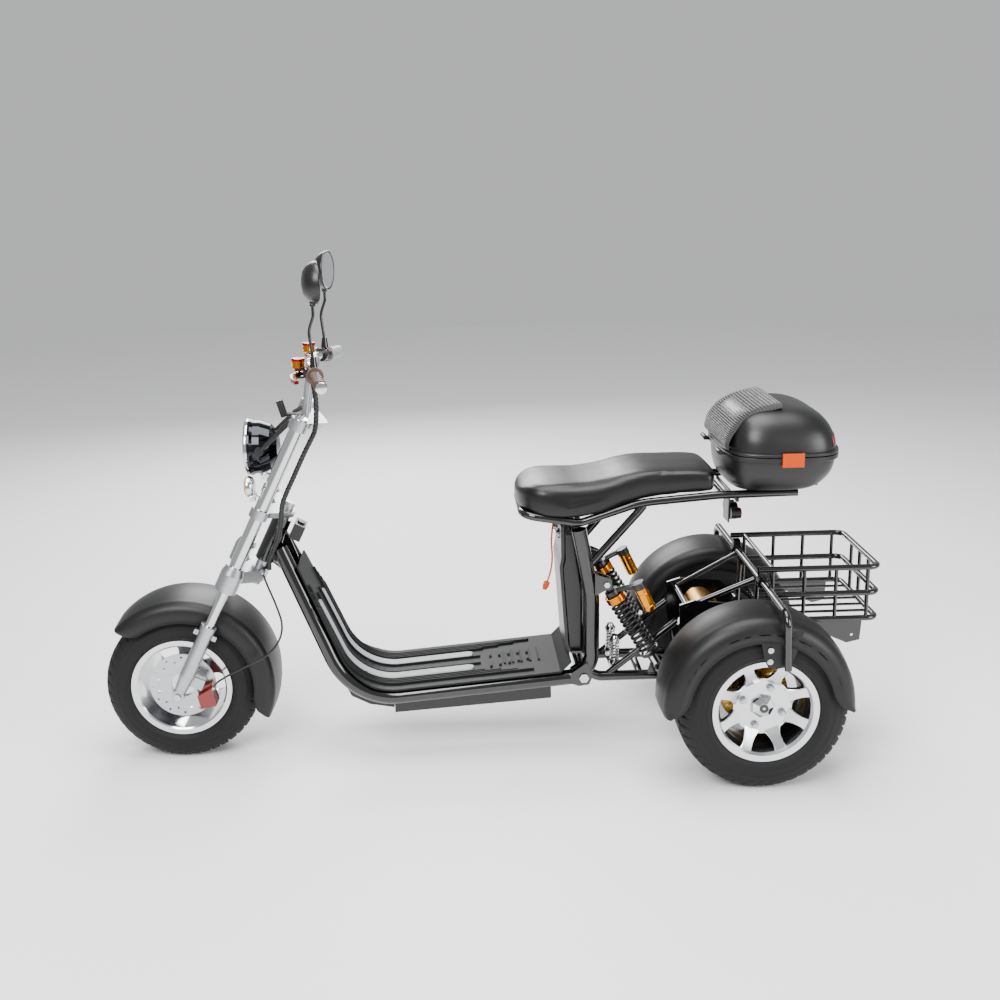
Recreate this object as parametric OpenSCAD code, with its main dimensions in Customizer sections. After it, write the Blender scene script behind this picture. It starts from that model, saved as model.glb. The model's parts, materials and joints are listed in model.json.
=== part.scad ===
// Adult tricycle in the form of an electric scooter: one front wheel in a
// raked telescopic fork, a low step-through frame, a long seat over the
// battery bay, and two driven rear wheels on a sprung swingarm that also
// carries the mudguards and a rear basket. A hard luggage box sits behind the
// seat. Millimetres; +X forwards, +Y to the rider's left, +Z up, with the
// origin on the ground under the middle of the whole vehicle.

/* [Overall] */
// Distance between the front and rear axles
wheelbase = 1556; // [1400:1:1900]
// Distance between the centres of the rear tyres
rear_track = 574; // [560:1:720]
// How far the basket's rear rail stands behind the rear axle
basket_overhang = 357; // [300:1:440]

/* [Wheels] */
// Outer diameter of the front tyre
front_tyre_d = 430; // [400:1:520]
// Outer diameter of the rear tyres
rear_tyre_d = 450; // [420:1:540]
// Width of a tyre at its widest
tyre_w = 176; // [150:1:190]
// Diameter over a rim's flanges, a ten-inch rim
rim_d = 282; // [250:1:300]
// Width of a rim over its flanges
rim_w = 158; // [130:1:165]
// Diameter of the circle through the four wheel nuts
lug_pcd = 110; // [90:1:130]
// Diameter of a brake disc
disc_d = 184; // [150:1:200]

/* [Steering] */
// Angle between the fork legs and the vertical
fork_rake = 26.2; // [20:0.1:30]
// Distance between the centres of the fork legs
leg_spacing = 250; // [240:1:300]
// Diameter of the chromed upper fork tubes
fork_tube_d = 36; // [30:1:44]
// Diameter of the sliding stanchions
stanchion_d = 28; // [24:1:30]
// Distance from the fork legs back to the steering stem
stem_offset = 62; // [54:1:74]
// Diameter of the steering stem
stem_d = 34; // [30:1:40]
// Diameter of the handlebar tube
bar_d = 22.2; // [20:0.1:25.4]
// Distance between the ends of the grips
bar_w = 590; // [500:1:720]
// Length of a hand grip
grip_l = 112; // [95:1:130]
// Height of the mirror centres above the handlebar
mirror_rise = 232; // [190:1:280]

/* [Frame] */
// Outer diameter of the two main frame tubes
frame_d = 42; // [34:1:48]
// Wall of the frame tubes
frame_wall = 2.5; // [1.5:0.1:4]
// Width over the foot deck
deck_w = 278; // [260:1:340]
// Height of the frame tubes' centre line at the front floor bend
floor_z = 178; // [160:1:215]

/* [Seat] */
// Length of the seat cushion
seat_l = 537; // [440:1:650]
// Width of the seat cushion
seat_w = 276; // [262:1:340]
// Thickness of the cushion over its front seat
seat_t = 100; // [80:1:125]

/* [Luggage] */
// Width of the luggage box over its flange
box_w = 404; // [330:1:490]
// Length of the luggage box over its flange
box_l = 308; // [280:1:370]
// Height of the luggage box's lid above the flange
lid_h = 132; // [110:1:160]
// Wall of the luggage box
box_wall = 3.5; // [2.5:0.5:5]
// Width of the basket over its rails
basket_w = 330; // [270:1:400]
// Height of the basket between its top and bottom rails
basket_h = 145; // [120:1:175]

/* [Fits] */
// Radial clearance of a shaft that turns or slides
running = 0.05; // [0.02:0.01:0.1]
// Radial clearance of parts that are clamped or pressed
seated = 0.03; // [0.02:0.01:0.1]
// Gap between pieces that move past each other
gap = 1.5; // [0.5:0.1:3]
// Play of the lower shock eye on its bolt
eye_play = 2; // [1.6:0.1:3]

/* [Hidden] */
$fn = 48;

// ---- places worked out from the driving sizes ----
front_r = front_tyre_d / 2;
rear_r = rear_tyre_d / 2;
fx = (wheelbase + basket_overhang - front_r) / 2;  // front axle
rx = fx - wheelbase;                               // rear axle
wheel_y = rear_track / 2;
leg_y = leg_spacing / 2;
frame_r = frame_d / 2;
frame_y = deck_w / 2 - frame_r;
rail_r = 11;
rail_y = seat_w / 2 - rail_r - 7;
hoop_r = 9.5;
axle_r = 6;
stub_r = 12;
barrel_r = rim_d / 2 - 14;
hub_half = 52;           // half the length of the front hub

function at(x, y, z) = [rx + x, y, z];       // measured from the rear axle
function at2(x, z) = [rx + x, z];             // the same, in the XZ plane
function fore(x, y, z) = [fx + x, y, z];     // measured from the front axle
function flip(v) = [v[0], -v[1], v[2]];
function unit(v) = v / norm(v);
function both(pts) = concat(pts, [for (i = [len(pts) - 1 : -1 : 0]) flip(pts[i])]);
// a point in the fork's own frame: forwards of the legs, left, and up the legs
function up_fork(p, y, s) = [fx + p * cos(fork_rake) - s * sin(fork_rake), y,
  front_r + p * sin(fork_rake) + s * cos(fork_rake)];

// heights along the fork legs, from the axle
lower_top_s = 222;       // top of the sliding leg castings
clamp_s = 335;           // underside of the bottom clamp
clamp_h = 72;
mid_s = 556;             // underside of the middle clamp
mid_h = 26;
top_s = 818;             // underside of the top clamp
top_h = 30;
bar_centre = up_fork(36, 0, 970);
bar_elbow_y = 70;
bar_end = [bar_centre[0] - 50, bar_w / 2, bar_centre[2] - 12];
bar_elbow = [bar_centre[0], bar_elbow_y, bar_centre[2] + 8];
bar_dir = unit(bar_end - bar_elbow);
function on_bar(y) = bar_elbow + bar_dir * (y - bar_elbow_y) / bar_dir[1];

// centre line of one main tube, from the neck to the seat
neck = fore(-289, 48, front_r + 389);
floor_front = fore(-475, frame_y, floor_z);
floor_rear = at(421, frame_y, floor_z + 58);
post_bend = at(421, frame_y, 470);
post_top = at(457, frame_y, 655);
floor_bend_r = 184;
post_bend_r = 70;
// height of the tubes' centre line over the floor
function floor_at(x) = floor_z + 58 * (floor_front[0] - x) / (floor_front[0] - floor_rear[0]);
pivot = at(444, 0, 236);
pivot_bolt_r = 8;
shock_top = at(383, 124, 505);
shock_low = at(234, 124, 259);
shock_len = norm(shock_top - shock_low);
shock_tilt = atan2(shock_top[0] - shock_low[0], shock_top[2] - shock_low[2]);

rack_z = 741;
box_mid_x = rx - 85;
box_floor_z = 762;
seam_z = 856;
flange_t = 6;
hinge_out = box_l / 2 + 12;                        // lid hinge, ahead of the box's middle
hoop_x = rx - 35;
hoop_z = 502;
hoop_y = wheel_y + 116;
basket_z = 540;
fender_r = rear_r + 30;
fender_mid = [rx + 15, 0, rear_r + 11];

// free battery lead: from the battery's top down to its connector
lead_r = 2.5;
lead_pts = [[-209, 50, 660], [-209, 50, 667], [-206, 50, 673], [-200, 50, 676], [-194, 50, 673],
  [-190, 50, 666], [-188, 50, 656], [-186, 50, 640], [-184, 50, 620], [-183, 50, 600],
  [-184, 50, 580], [-185, 50, 560], [-184, 50, 540], [-181, 50, 520], [-176, 50, 500],
  [-171, 50, 486]];
// wiring loom: from the handlebar, along the fork, to the neck
loom_r = 7;
loom_pts = [[448, 64, 1072], [440, 74, 1034], [438, 83, 985], [444, 88, 938], [459, 92, 907],
  [475, 95, 877], [501, 98, 824], [536, 98, 750], [545, 96, 700], [555, 88, 650], [572, 75, 610], [588, 60, 575],
  [592, 48, 545]];
// front brake hose: from the neck, behind the mudguard, to the caliper
hose_r = 3;
hose_pts = [[605, 100, 560], [590, 112, 520], [570, 122, 470], [556, 126, 420], [560, 128, 380],
  [580, 130, 345], [610, 132, 320], [650, 132, 300], [690, 130, 280], [720, 126, 262],
  [742, 120, 246], [752, 112, 232], [758, 104, 218]];

// ---- helpers ----
// a straight bar between two points; its wall is measured inwards from r
module bar(a, b, r, wall = 0) {
  d = b - a;
  l = norm(d);
  translate(a) rotate([0, acos(d[2] / l), atan2(d[1], d[0])]) linear_extrude(l) tube_section(r, wall);
}
module tube_section(r, wall) {
  difference() {
    circle(r);
    if (wall > 0) circle(r - wall);
  }
}
// a tube through the points p, with each corner bent to its own radius; a short
// ring inside the wall joins each straight to its bend
module bent_tube(p, r, bends, wall = 0) {
  n = len(p);
  slit = 0.02;
  skin = 0.15;
  dir = [for (i = [0 : n - 2]) unit(p[i + 1] - p[i])];
  angle = [for (i = [0 : n - 1]) (i == 0 || i == n - 1) ? 0 : acos(min(1, dir[i - 1] * dir[i]))];
  cut = [for (i = [0 : n - 1]) (i == 0 || i == n - 1) ? 0 : bends[i - 1] * tan(angle[i] / 2) + slit];
  for (i = [0 : n - 2]) bar(p[i] + dir[i] * cut[i], p[i + 1] - dir[i] * cut[i + 1], r, wall);
  for (i = [1 : n - 2]) {
    w = unit(cross(dir[i - 1], dir[i]));
    start = p[i] - dir[i - 1] * (cut[i] - slit);
    end = p[i] + dir[i] * (cut[i] - slit);
    out = unit(cross(dir[i - 1], w));
    c = start - out * bends[i - 1];
    multmatrix([[out[0], dir[i - 1][0], w[0], c[0]], [out[1], dir[i - 1][1], w[1], c[1]],
      [out[2], dir[i - 1][2], w[2], c[2]], [0, 0, 0, 1]])
      rotate_extrude(angle = angle[i]) translate([bends[i - 1], 0]) tube_section(r, wall);
    bar(start - dir[i - 1], start + dir[i - 1], r - skin, max(0, wall - 2 * skin));
    bar(end - dir[i], end + dir[i], r - skin, max(0, wall - 2 * skin));
  }
}
// a thin cord as one polyhedron: a ring of eight points at each place on the route
module cord(p, r, sides = 8) {
  n = len(p);
  dir = [for (i = [0 : n - 1]) unit(p[min(i + 1, n - 1)] - p[max(i - 1, 0)])];
  side = [for (d = dir) unit(cross(d, abs(d[1]) > 0.9 ? [1, 0, 0] : [0, 1, 0]))];
  pts = [for (i = [0 : n - 1]) for (k = [0 : sides - 1]) p[i] + r * (cos(360 * k / sides) * side[i]
    + sin(360 * k / sides) * cross(side[i], dir[i]))];
  walls = [for (i = [0 : n - 2]) for (k = [0 : sides - 1]) [i * sides + k,
    i * sides + (k + 1) % sides, (i + 1) * sides + (k + 1) % sides, (i + 1) * sides + k]];
  ends = [[for (k = [sides - 1 : -1 : 0]) k], [for (k = [0 : sides - 1]) (n - 1) * sides + k]];
  polyhedron(pts, concat(walls, ends), convexity = 6);
}
// a flat plate in the XZ plane, centred on y
module plate(pts, y, t) {
  translate([0, y + t / 2, 0]) rotate([90, 0, 0]) linear_extrude(t) polygon(pts);
}
module across(p, r, l) { translate(p) rotate([90, 0, 0]) cylinder(h = l, r = r, center = true); }
module pair() { children(); mirror([0, 1, 0]) children(); }
module in_fork(p = 0, y = 0, s = 0) {
  translate([fx, 0, front_r]) rotate([0, -fork_rake, 0]) translate([p, y, s]) children();
}
// rounded rectangle, as a closed outline
function box_outline(l, w, r, n = 6) = [for (q = [0 : 3]) for (i = [0 : n])
  let (a = 90 * (q + i / n), sx = (q == 0 || q == 3) ? 1 : -1, sy = q < 2 ? 1 : -1)
  [sx * (l / 2 - r) + r * cos(a), sy * (w / 2 - r) + r * sin(a)]];

// ---- frame ----
module main_frame() {
  tube_pts = [neck, floor_front, floor_rear, post_bend, post_top];
  color("#101010") difference() {
    union() {
      pair() bent_tube(tube_pts, frame_r, [floor_bend_r, post_bend_r, 300], frame_wall);
      in_fork(-stem_offset, 0, 414) cylinder(h = 134, r = stem_d / 2 + 9);
      neck_gusset();
      for (c = [[fore(-620, 0, 0), floor_z + 12], [at(520, 0, 0), floor_z + 46]])
        across([c[0][0], 0, c[1]], 14, 2 * (frame_y - frame_r + 2));
      across(at(436, 0, 560), 12, 2 * (frame_y - frame_r + 2));
      across(at(455, 0, 638), 12, 2 * (frame_y - frame_r + 3));
      pair() pivot_plates();
      pair() bar(at(430, frame_y - 3, 548), at(298, rail_y, rack_z - 41), 11);
      pair() shock_ears();
      translate([rx + 424, -frame_y + frame_r - 4, 293]) cube([52, 2 * (frame_y - frame_r + 4), 6]);
    }
    in_fork(-stem_offset, 0, 400) cylinder(h = 170, r = stem_d / 2 + running);
    across(pivot, pivot_bolt_r + seated, deck_w + 40);
    pair() across(shock_top, 5 + seated, 60);
  }
}
module neck_gusset() {
  top = up_fork(-stem_offset - 6, 8, 520);
  pair() {
    bar(top, neck + [6, -2, 14], 15);
    bar(up_fork(-stem_offset - 8, 10, 440), neck + [-20, 1, -46], 13);
  }
  a = up_fork(-stem_offset - 10, 0, 530);
  b = up_fork(-stem_offset - 10, 0, 418);
  plate([[a[0], a[2]], [b[0], b[2]], [neck[0] - 60, neck[2] - 130], [neck[0] - 44, neck[2] - 40]], 0, 6);
}
module pivot_plates() {
  for (y = [frame_y - frame_r + 2, frame_y + frame_r - 2])
    plate([[pivot[0] + 34, pivot[2] + 14], [pivot[0] - 8, pivot[2] + 44], [pivot[0] - 26, pivot[2] + 8],
      [pivot[0] - 14, pivot[2] - 20], [pivot[0] + 14, pivot[2] - 24], [pivot[0] + 40, pivot[2] - 14]],
      y, 6);
}
module shock_ears() {
  x = shock_top[0];
  z = shock_top[2];
  for (y = [shock_top[1] - 16, shock_top[1] + 16])
    plate([[x - 14, z - 12], [x + 6, z - 18], [x + 27, z - 30], [x + 29, z + 28],
      [x - 2, z + 16], [x - 14, z + 10]], y, 5);
  translate([x + 27, shock_top[1], z]) cube([10, 36, 56], center = true);
}
module deck_panel() {
  color("#26282a") difference() {
    union() {
      pair() plate_strip();
      for (i = [0 : 4]) translate([rx + 560 + i * 24, 0, floor_at(rx + 560 + i * 24) + frame_r + 8.5])
        cube([6, 90, 6], center = true);
    }
    for (k = [0 : 1]) in_fork(-150 - k * 34, 0, 300 - k * 24) cube([60, 12, 6], center = true);
  }
}
// half of the moulded floor: a band that follows the frame tubes' upper side
module plate_strip() {
  t = 5;
  lift = frame_r + 2.5;
  front = deck_line(lift);
  inner = deck_line(lift + t);
  n = len(front);
  intersection() {
    translate([0, deck_w / 2, 0]) rotate([90, 0, 0]) linear_extrude(deck_w / 2 + 0.5)
      polygon(concat(front, [for (i = [n - 1 : -1 : 0]) inner[i]]));
    linear_extrude(900) polygon([[rx, -1], [rx, deck_w / 2], [fx - 475 - 60, deck_w / 2],
      [fx - 330, 78], [fx - 250, 62], [fx - 250, -1]]);
  }
}
// side profile of the floor at a height above the tubes' centre line, with the
// kick-up in front of the battery bay
function deck_line(h) = let (
    b = [floor_front[0], floor_front[2]],
    a = [neck[0], neck[2]] + 65 * unit(b - [neck[0], neck[2]]),
    c = [rx + 506, floor_at(rx + 506)],
    u = unit(b - a), v = unit(c - b), nu = [u[1], -u[0]], nv = [v[1], -v[0]],
    turn = acos(u * v), r = floor_bend_r - h, t = floor_bend_r * tan(turn / 2),
    mid = b - u * t + nu * floor_bend_r, a0 = atan2(-nu[1], -nu[0]))
  concat([a + nu * h], [for (i = [0 : 10]) mid + r * [cos(a0 - turn * i / 10), sin(a0 - turn * i / 10)]],
    [c + nv * h, c + nv * h + [-30, 30]]);
module belly_pan() {
  z = floor_z - 14;
  color("#0c0c0c") plate([[fore(-452, 0, 0)[0], z + 50], [fore(-470, 0, 0)[0], z + 14],
    [fore(-520, 0, 0)[0], z - 12], [fore(-588, 0, 0)[0], z - 24], [fore(-588, 0, 0)[0], z - 2],
    [fore(-520, 0, 0)[0], z + 26], [fore(-480, 0, 0)[0], z + 64]], 0, 2 * (frame_y - frame_r - 13));
}
module controller_box() {
  x0 = fore(-590, 0, 0)[0];
  x1 = at(531, 0, 0)[0];
  z0 = floor_z - 46;
  color("#0c0c0c") pair() difference() {
    plate([[x0, z0], [x1, z0 + 30], [x1, z0 + 68], [x0, z0 + 32]], 50, 100);
    translate([x1 - 1, 70, z0 + 42]) rotate([0, 90, 0]) cylinder(h = 30, r = 3);
  }
}
module battery_pack() {
  color("#202225") plate([at2(448, 300), at2(476, 300), at2(494, 536), at2(488, 560), at2(488, 630),
    at2(472, 630), at2(448, 470)], 0, 2 * (frame_y - frame_r - 12));
}
module battery_cover() {
  color("#141414") plate([at2(480, 290), at2(488, 290), at2(506, 540), at2(501, 566), at2(502, 655),
    at2(494, 655), at2(493, 564), at2(498, 538)], 0, 2 * (frame_y - frame_r - 6));
}
module charge_port() {
  color("#8a8d90") pair() translate(at(501.85, 34, 620)) rotate([0, 90, 0]) {
    cylinder(h = 5, r = 14);
    cylinder(h = 9, r = 9);
  }
  color("#202020") translate([lead_pts[0][0], lead_pts[0][1], 655]) cylinder(h = 5, r = 5);
}
module seat_frame() {
  t = 2;
  loop = both([at(-128, rail_y, rack_z + 3), at(84, rail_y, rack_z), at(293, rail_y, rack_z - 16),
    at(456, rail_y, rack_z - 68), at(84 + seat_l - 14, rail_y, rack_z - 42)]);
  color("#0d0d0d") {
    bent_tube(loop, rail_r, [300, 300, 60, 40, 40, 60, 300, 300], t);
    for (x = [-122, -20, 70]) across([rx + x, 0, rack_z + 2], 8, 2 * rail_y - 6);
    across(at(456, 0, rack_z - 68), 9, 2 * rail_y - 6);
    translate([box_mid_x - 110, -80, rack_z + 9]) cube([190, 160, 4]);
    pair() for (x = [-150, -30]) translate(at(x, 60, rack_z + 10)) cylinder(h = box_floor_z - rack_z - 10.3, r = 8);
  }
}
// the cushion's underside follows the seat rails, its top is a two-level saddle
module seat_cushion() {
  x0 = rx + 84;
  z0 = rack_z + rail_r + 2;
  low = z0 - 70;
  under = [[x0, z0 + 1], [x0 + 209, z0 - 12], [x0 + 372, low + 6], [x0 + seat_l - 12, low + 28]];
  top = [[x0 + seat_l, low + 40], [x0 + seat_l - 2, low + seat_t - 28],
    [x0 + seat_l - 22, low + seat_t - 2], [x0 + seat_l - 70, low + seat_t + 6],
    [x0 + seat_l - 230, low + seat_t - 2], [x0 + seat_l - 290, low + seat_t + 14],
    [x0 + 188, low + seat_t + 40], [x0 + 100, low + seat_t + 40], [x0 + 12, low + seat_t + 28],
    [x0 - 4, low + seat_t + 10], [x0 - 4, z0 + 8]];
  color("#151515") intersection() {
    plate(concat(under, top), 0, seat_w + 2);
    translate([0, 0, 600]) linear_extrude(300) union() {
      translate([x0 - 10, -seat_w / 2 + 16]) square([seat_l - 60, seat_w - 32]);
      translate([x0 + 160, -seat_w / 2]) square([seat_l - 260, seat_w]);
      translate([x0 + seat_l - 130, 0]) scale(1) circle(130);
      for (s = [-1, 1]) translate([x0 + 160, s * (seat_w / 2 - 40)]) circle(40);
      for (s = [-1, 1]) translate([x0 + seat_l - 100, s * (seat_w / 2 - 58)]) circle(58);
    }
  }
}
// ---- luggage box ----
module box_slab(l, w, z, r, shift = 0) {
  translate([shift, 0, z]) linear_extrude(0.5) polygon(box_outline(l, w, min(r, l / 2 - 1, w / 2 - 1)));
}
module box_bowl(in) {
  hull() {
    box_slab(box_l - 84 - 2 * in, box_w - 110 - 2 * in, box_floor_z + in, 50, -4);
    box_slab(box_l - 44 - 2 * in, box_w - 60 - 2 * in, box_floor_z + 12 + in, 62, -3);
    box_slab(box_l - 22 - 2 * in, box_w - 24 - 2 * in, box_floor_z + 44 + in, 72);
    box_slab(box_l - 16 - 2 * in, box_w - 16 - 2 * in, seam_z - 0.5 + min(in, 1), 76);
  }
}
module box_dome(in) {
  z = seam_z + gap;
  hull() {
    box_slab(box_l - 16 - 2 * in, box_w - 16 - 2 * in, z - min(in, 1), 76);
    box_slab(box_l - 24 - 2 * in, box_w - 28 - 2 * in, z + 0.35 * lid_h, 80, 2);
    box_slab(box_l - 60 - 2 * in, box_w - 66 - 2 * in, z + 0.68 * lid_h - in / 2, 84, 6);
    box_slab(box_l - 110 - 2 * in, box_w - 120 - 2 * in, z + 0.87 * lid_h - in, 84, 12);
    box_slab(box_l - 190 - in, box_w - 200 - in, z + lid_h - in - 0.5, 50, 18);
  }
}
module box_base() {
  color("#141414") translate([box_mid_x, 0, 0]) difference() {
    union() {
      box_bowl(0);
      translate([0, 0, seam_z - flange_t]) linear_extrude(flange_t)
        polygon(box_outline(box_l, box_w - 6, 82));
      pair() across([hinge_out, 90, seam_z], 6, 14);
      pair() translate([box_l / 2 + 3, 90, seam_z - 4.5]) cube([18, 14, 3], center = true);
      pair() across([hinge_out, 90, seam_z], 2.5, 34);
    }
    box_bowl(box_wall);
  }
}
module box_lid() {
  color("#141414") translate([box_mid_x, 0, 0]) {
    difference() {
      union() {
        box_dome(0);
        translate([0, 0, seam_z + gap]) linear_extrude(flange_t + 2)
          polygon(box_outline(box_l, box_w - 6, 82));
      }
      box_dome(box_wall);
    }
    pair() for (s = [-1, 1]) difference() {
      union() {
        across([hinge_out, 90 + s * 11.5, seam_z], 6, 8);
        translate([box_l / 2 + 4, 90 + s * 11.5, seam_z + gap + 3]) cube([20, 8, 4], center = true);
      }
      across([hinge_out, 90, seam_z], 2.5 + running, 60);
    }
  }
}
// curved pad on the front and top of the lid
module backrest_pad() {
  z = seam_z + gap;
  front = box_l / 2;
  pts = [[front + 2, z + 11], [front + 6, z + 30], [front - 4, z + 66], [front - 32, z + 106],
    [front - 80, z + 134], [front - 150, z + lid_h + 19]];
  inner = [[front - 150, z + lid_h + 1], [front - 100, z + lid_h + 1], [front - 72, z + lid_h - 8],
    [front - 42, z + 96], [front - 20, z + 58], [front - 9, z + 30], [front - 7, z + 11]];
  color("#3a3c3f") translate([box_mid_x, 0, 0]) difference() {
    plate(concat(pts, inner), 0, 0.66 * box_w);
    box_dome(-0.4);
  }
}
module box_latch() {
  w = 56;
  y = box_w / 2;
  color("#f0521e") translate([box_mid_x - 5, 0, 0]) {
    translate([-w / 2, y - 2, seam_z - 20]) cube([w, 6, 33]);
    translate([-w / 2, y - 8, seam_z - 23]) cube([w, 12, 6]);
  }
}
module left_box_latch() { box_latch(); }
module right_box_latch() { mirror([0, 1, 0]) box_latch(); }
module neck_box() {
  color("#161616") {
    in_fork(-stem_offset - 52, 0, 530) cube([32, 62, 44], center = true);
    in_fork(-stem_offset - 52, 0, 551) cylinder(h = 6, r = 11);
  }
}
module tail_lights() {
  z = 662;
  color("#161616") {
    plate([[rx + 30, z - 26], [rx + 34, z - 26], [rx + 34, rack_z - rail_r + 1], [rx + 30, rack_z - rail_r + 1]],
      0, 60);
    across([rx + 32, 0, rack_z - rail_r - 5], 5, 2 * rail_y);
    pair() bar([rx + 32, rail_y, rack_z - rail_r - 5], [rx + 32, rail_y, rack_z - rail_r + 0.2], 4);
  }
  color("#a01818") {
    translate([rx + 30, 0, z]) rotate([0, -90, 0]) cylinder(h = 22, r = 24);
    pair() translate([rx + 30, 40, z + 4]) rotate([0, -90, 0]) cylinder(h = 24, r = 15);
  }
}
module battery_lead() { color("#e8641e") cord(lead_pts, lead_r); }
module battery_connector() {
  a = lead_pts[len(lead_pts) - 2];
  b = lead_pts[len(lead_pts) - 1];
  color("#e8641e") translate(b) rotate([0, atan2(b[0] - a[0], b[2] - a[2]), 0]) {
    translate([0, 0, 8]) cube([16, 9, 16], center = true);
    translate([0, 0, 20]) cube([12, 6, 8], center = true);
  }
}
module hex_bolt(l, r) {
  cylinder(h = l, r = r, center = true);
  for (s = [-1, 1]) translate([0, 0, s * (l / 2 + 2.5)]) cylinder(h = 5, r = 1.7 * r, $fn = 6, center = true);
}
module frame_bolts() {
  color("#c8cacd") {
    translate(pivot) rotate([90, 0, 0]) hex_bolt(2 * (frame_y + frame_r + 1.5), pivot_bolt_r);
    pair() translate(shock_top) rotate([90, 0, 0]) hex_bolt(38, 5);
  }
}
// ---- steering ----
module steering_stem() {
  color("#b8babd") in_fork(-stem_offset, 0, clamp_s + 6) cylinder(h = mid_s + mid_h + 8 - clamp_s, r = stem_d / 2);
}
module fork_tubes() {
  color("#d5d7da") pair() {
    in_fork(0, leg_y, clamp_s + 2) cylinder(h = top_s + top_h + 4 - clamp_s, r = fork_tube_d / 2);
    in_fork(0, leg_y, 160) cylinder(h = clamp_s + 4 - 160, r = stanchion_d / 2);
  }
}
module clamp_plate(s, h, back) {
  pts = [[10, leg_y - 8], [-10, leg_y + 6], [-back - 18, 26], [-back - 26, 0], [-back - 18, -26],
    [-10, -leg_y - 6], [10, -leg_y + 8], [-back + 34, 0]];
  in_fork(0, 0, s) linear_extrude(h) polygon(pts);
}
module triple_clamps() {
  fit = fork_tube_d / 2 + seated;
  color("#b4b7ba") difference() {
    union() {
      pair() in_fork(0, leg_y, clamp_s) {
        cylinder(h = clamp_h - 22, r = fork_tube_d / 2 + 13);
        translate([0, 0, clamp_h - 22]) cylinder(h = 22, r1 = fork_tube_d / 2 + 13, r2 = fork_tube_d / 2 + 6);
      }
      clamp_plate(clamp_s + 22, 38, stem_offset);
      pair() in_fork(0, leg_y, mid_s) cylinder(h = mid_h, r = fork_tube_d / 2 + 7);
      clamp_plate(mid_s + 4, 16, stem_offset);
      pair() in_fork(0, leg_y, top_s) cylinder(h = top_h, r = fork_tube_d / 2 + 7);
      clamp_plate(top_s + 8, 16, stem_offset - 20);
      pair() bar_riser();
    }
    pair() in_fork(0, leg_y, clamp_s + 0.01) cylinder(h = top_s + top_h + 60 - clamp_s, r = fit);
    pair() in_fork(0, leg_y, clamp_s - 4) cylinder(h = 20, r = stanchion_d / 2 + seated);
    in_fork(-stem_offset, 0, clamp_s + 5) cylinder(h = mid_s + mid_h + 10 - clamp_s, r = stem_d / 2 + seated);
    across(bar_centre, bar_d / 2 + seated, 2 * bar_elbow_y);
  }
}
// a post on the top clamp that holds the handlebar
module bar_riser() {
  foot = up_fork(-8, 34, top_s + 14);
  head = [bar_centre[0], 34, bar_centre[2]];
  bar(foot, head, 10);
  translate(head) rotate([90, 0, 0]) cylinder(h = 22, r = bar_d / 2 + 9, center = true);
}
module handlebar() {
  color("#d0d2d5") {
    bent_tube([flip(bar_end), flip(on_bar(bar_elbow_y + 6)), [bar_centre[0], 16 - bar_elbow_y, bar_centre[2]],
      [bar_centre[0], bar_elbow_y - 16, bar_centre[2]], on_bar(bar_elbow_y + 6), bar_end],
      bar_d / 2, [30, 30, 30, 30], 2);
  }
}
module grip_sleeve() {
  bar(on_bar(bar_w / 2 - grip_l), on_bar(bar_w / 2 - 1), bar_d / 2 + 5.5, 5.5 - seated);
  bar(on_bar(bar_w / 2 - grip_l), on_bar(bar_w / 2 - grip_l + 5), bar_d / 2 + 12, 12 - seated);
  bar(on_bar(bar_w / 2 + 0.3), on_bar(bar_w / 2 + 14), bar_d / 2 + 3.5);
}
module left_grip() { color("#4a2f22") grip_sleeve(); }
module throttle_grip() {
  color("#a8abae") mirror([0, 1, 0]) {
    bar(on_bar(bar_w / 2 - grip_l), on_bar(bar_w / 2 - 1), bar_d / 2 + 5.5, 5.5 - running);
    bar(on_bar(bar_w / 2 - grip_l), on_bar(bar_w / 2 - grip_l + 5), bar_d / 2 + 12, 12 - running);
    bar(on_bar(bar_w / 2 + 0.3), on_bar(bar_w / 2 + 14), bar_d / 2 + 3.5);
  }
}
lever_y = bar_w / 2 - grip_l - 36;      // where the lever perches sit along the bar
lever_pivot = on_bar(lever_y) + [34, -4, -2];
lever_arm_t = 9;
module bar_controls() {
  color("#141414") pair() difference() {
    union() {
      bar(on_bar(lever_y - 11), on_bar(lever_y + 11), bar_d / 2 + 7);
      translate(on_bar(lever_y) + [12, -2, -1]) cube([24, 20, 22.2], center = true);
      for (s = [-1, 1]) translate(lever_pivot + [-1, 0, s * 9.5]) cube([22, 18, 5], center = true);
      bar(on_bar(lever_y + 15), on_bar(lever_y + 33), bar_d / 2 + 8);
    }
    bar(on_bar(lever_y - 40), on_bar(lever_y + 60), bar_d / 2 + seated);
    translate(lever_pivot) cylinder(h = 40, r = 3 + seated, center = true);
  }
  color("#c8cacd") pair() translate(lever_pivot) cylinder(h = 24, r = 3, center = true);
}
module brake_lever() {
  t = lever_arm_t;
  a = lever_pivot;
  color("#b01420") difference() {
    union() {
      translate(a) cylinder(h = t, r = 9, center = true);
      translate([0, 0, a[2] - t / 2]) linear_extrude(t) polygon([[a[0] - 4, a[1] + 4],
        [a[0] + 7, a[1] - 2], [a[0] + 20, a[1] + 40], [a[0] + 12, a[1] + 96], [a[0] - 2, a[1] + 138],
        [a[0] - 12, a[1] + 134], [a[0] - 2, a[1] + 92], [a[0] + 6, a[1] + 42]]);
    }
    translate(a) cylinder(h = 40, r = 3 + running, center = true);
  }
}
module left_brake_lever() { brake_lever(); }
module right_brake_lever() { mirror([0, 1, 0]) brake_lever(); }
module brake_reservoirs() {
  p = on_bar(lever_y) + [36, -10, 10.3];
  pair() {
    color("#c8a040") translate(p) cylinder(h = 20, r = 17);
    color("#8c1420") translate(p + [0, 0, 20]) cylinder(h = 7, r = 18);
  }
}
head_mid = fore(-222, 0, 878);
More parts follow.
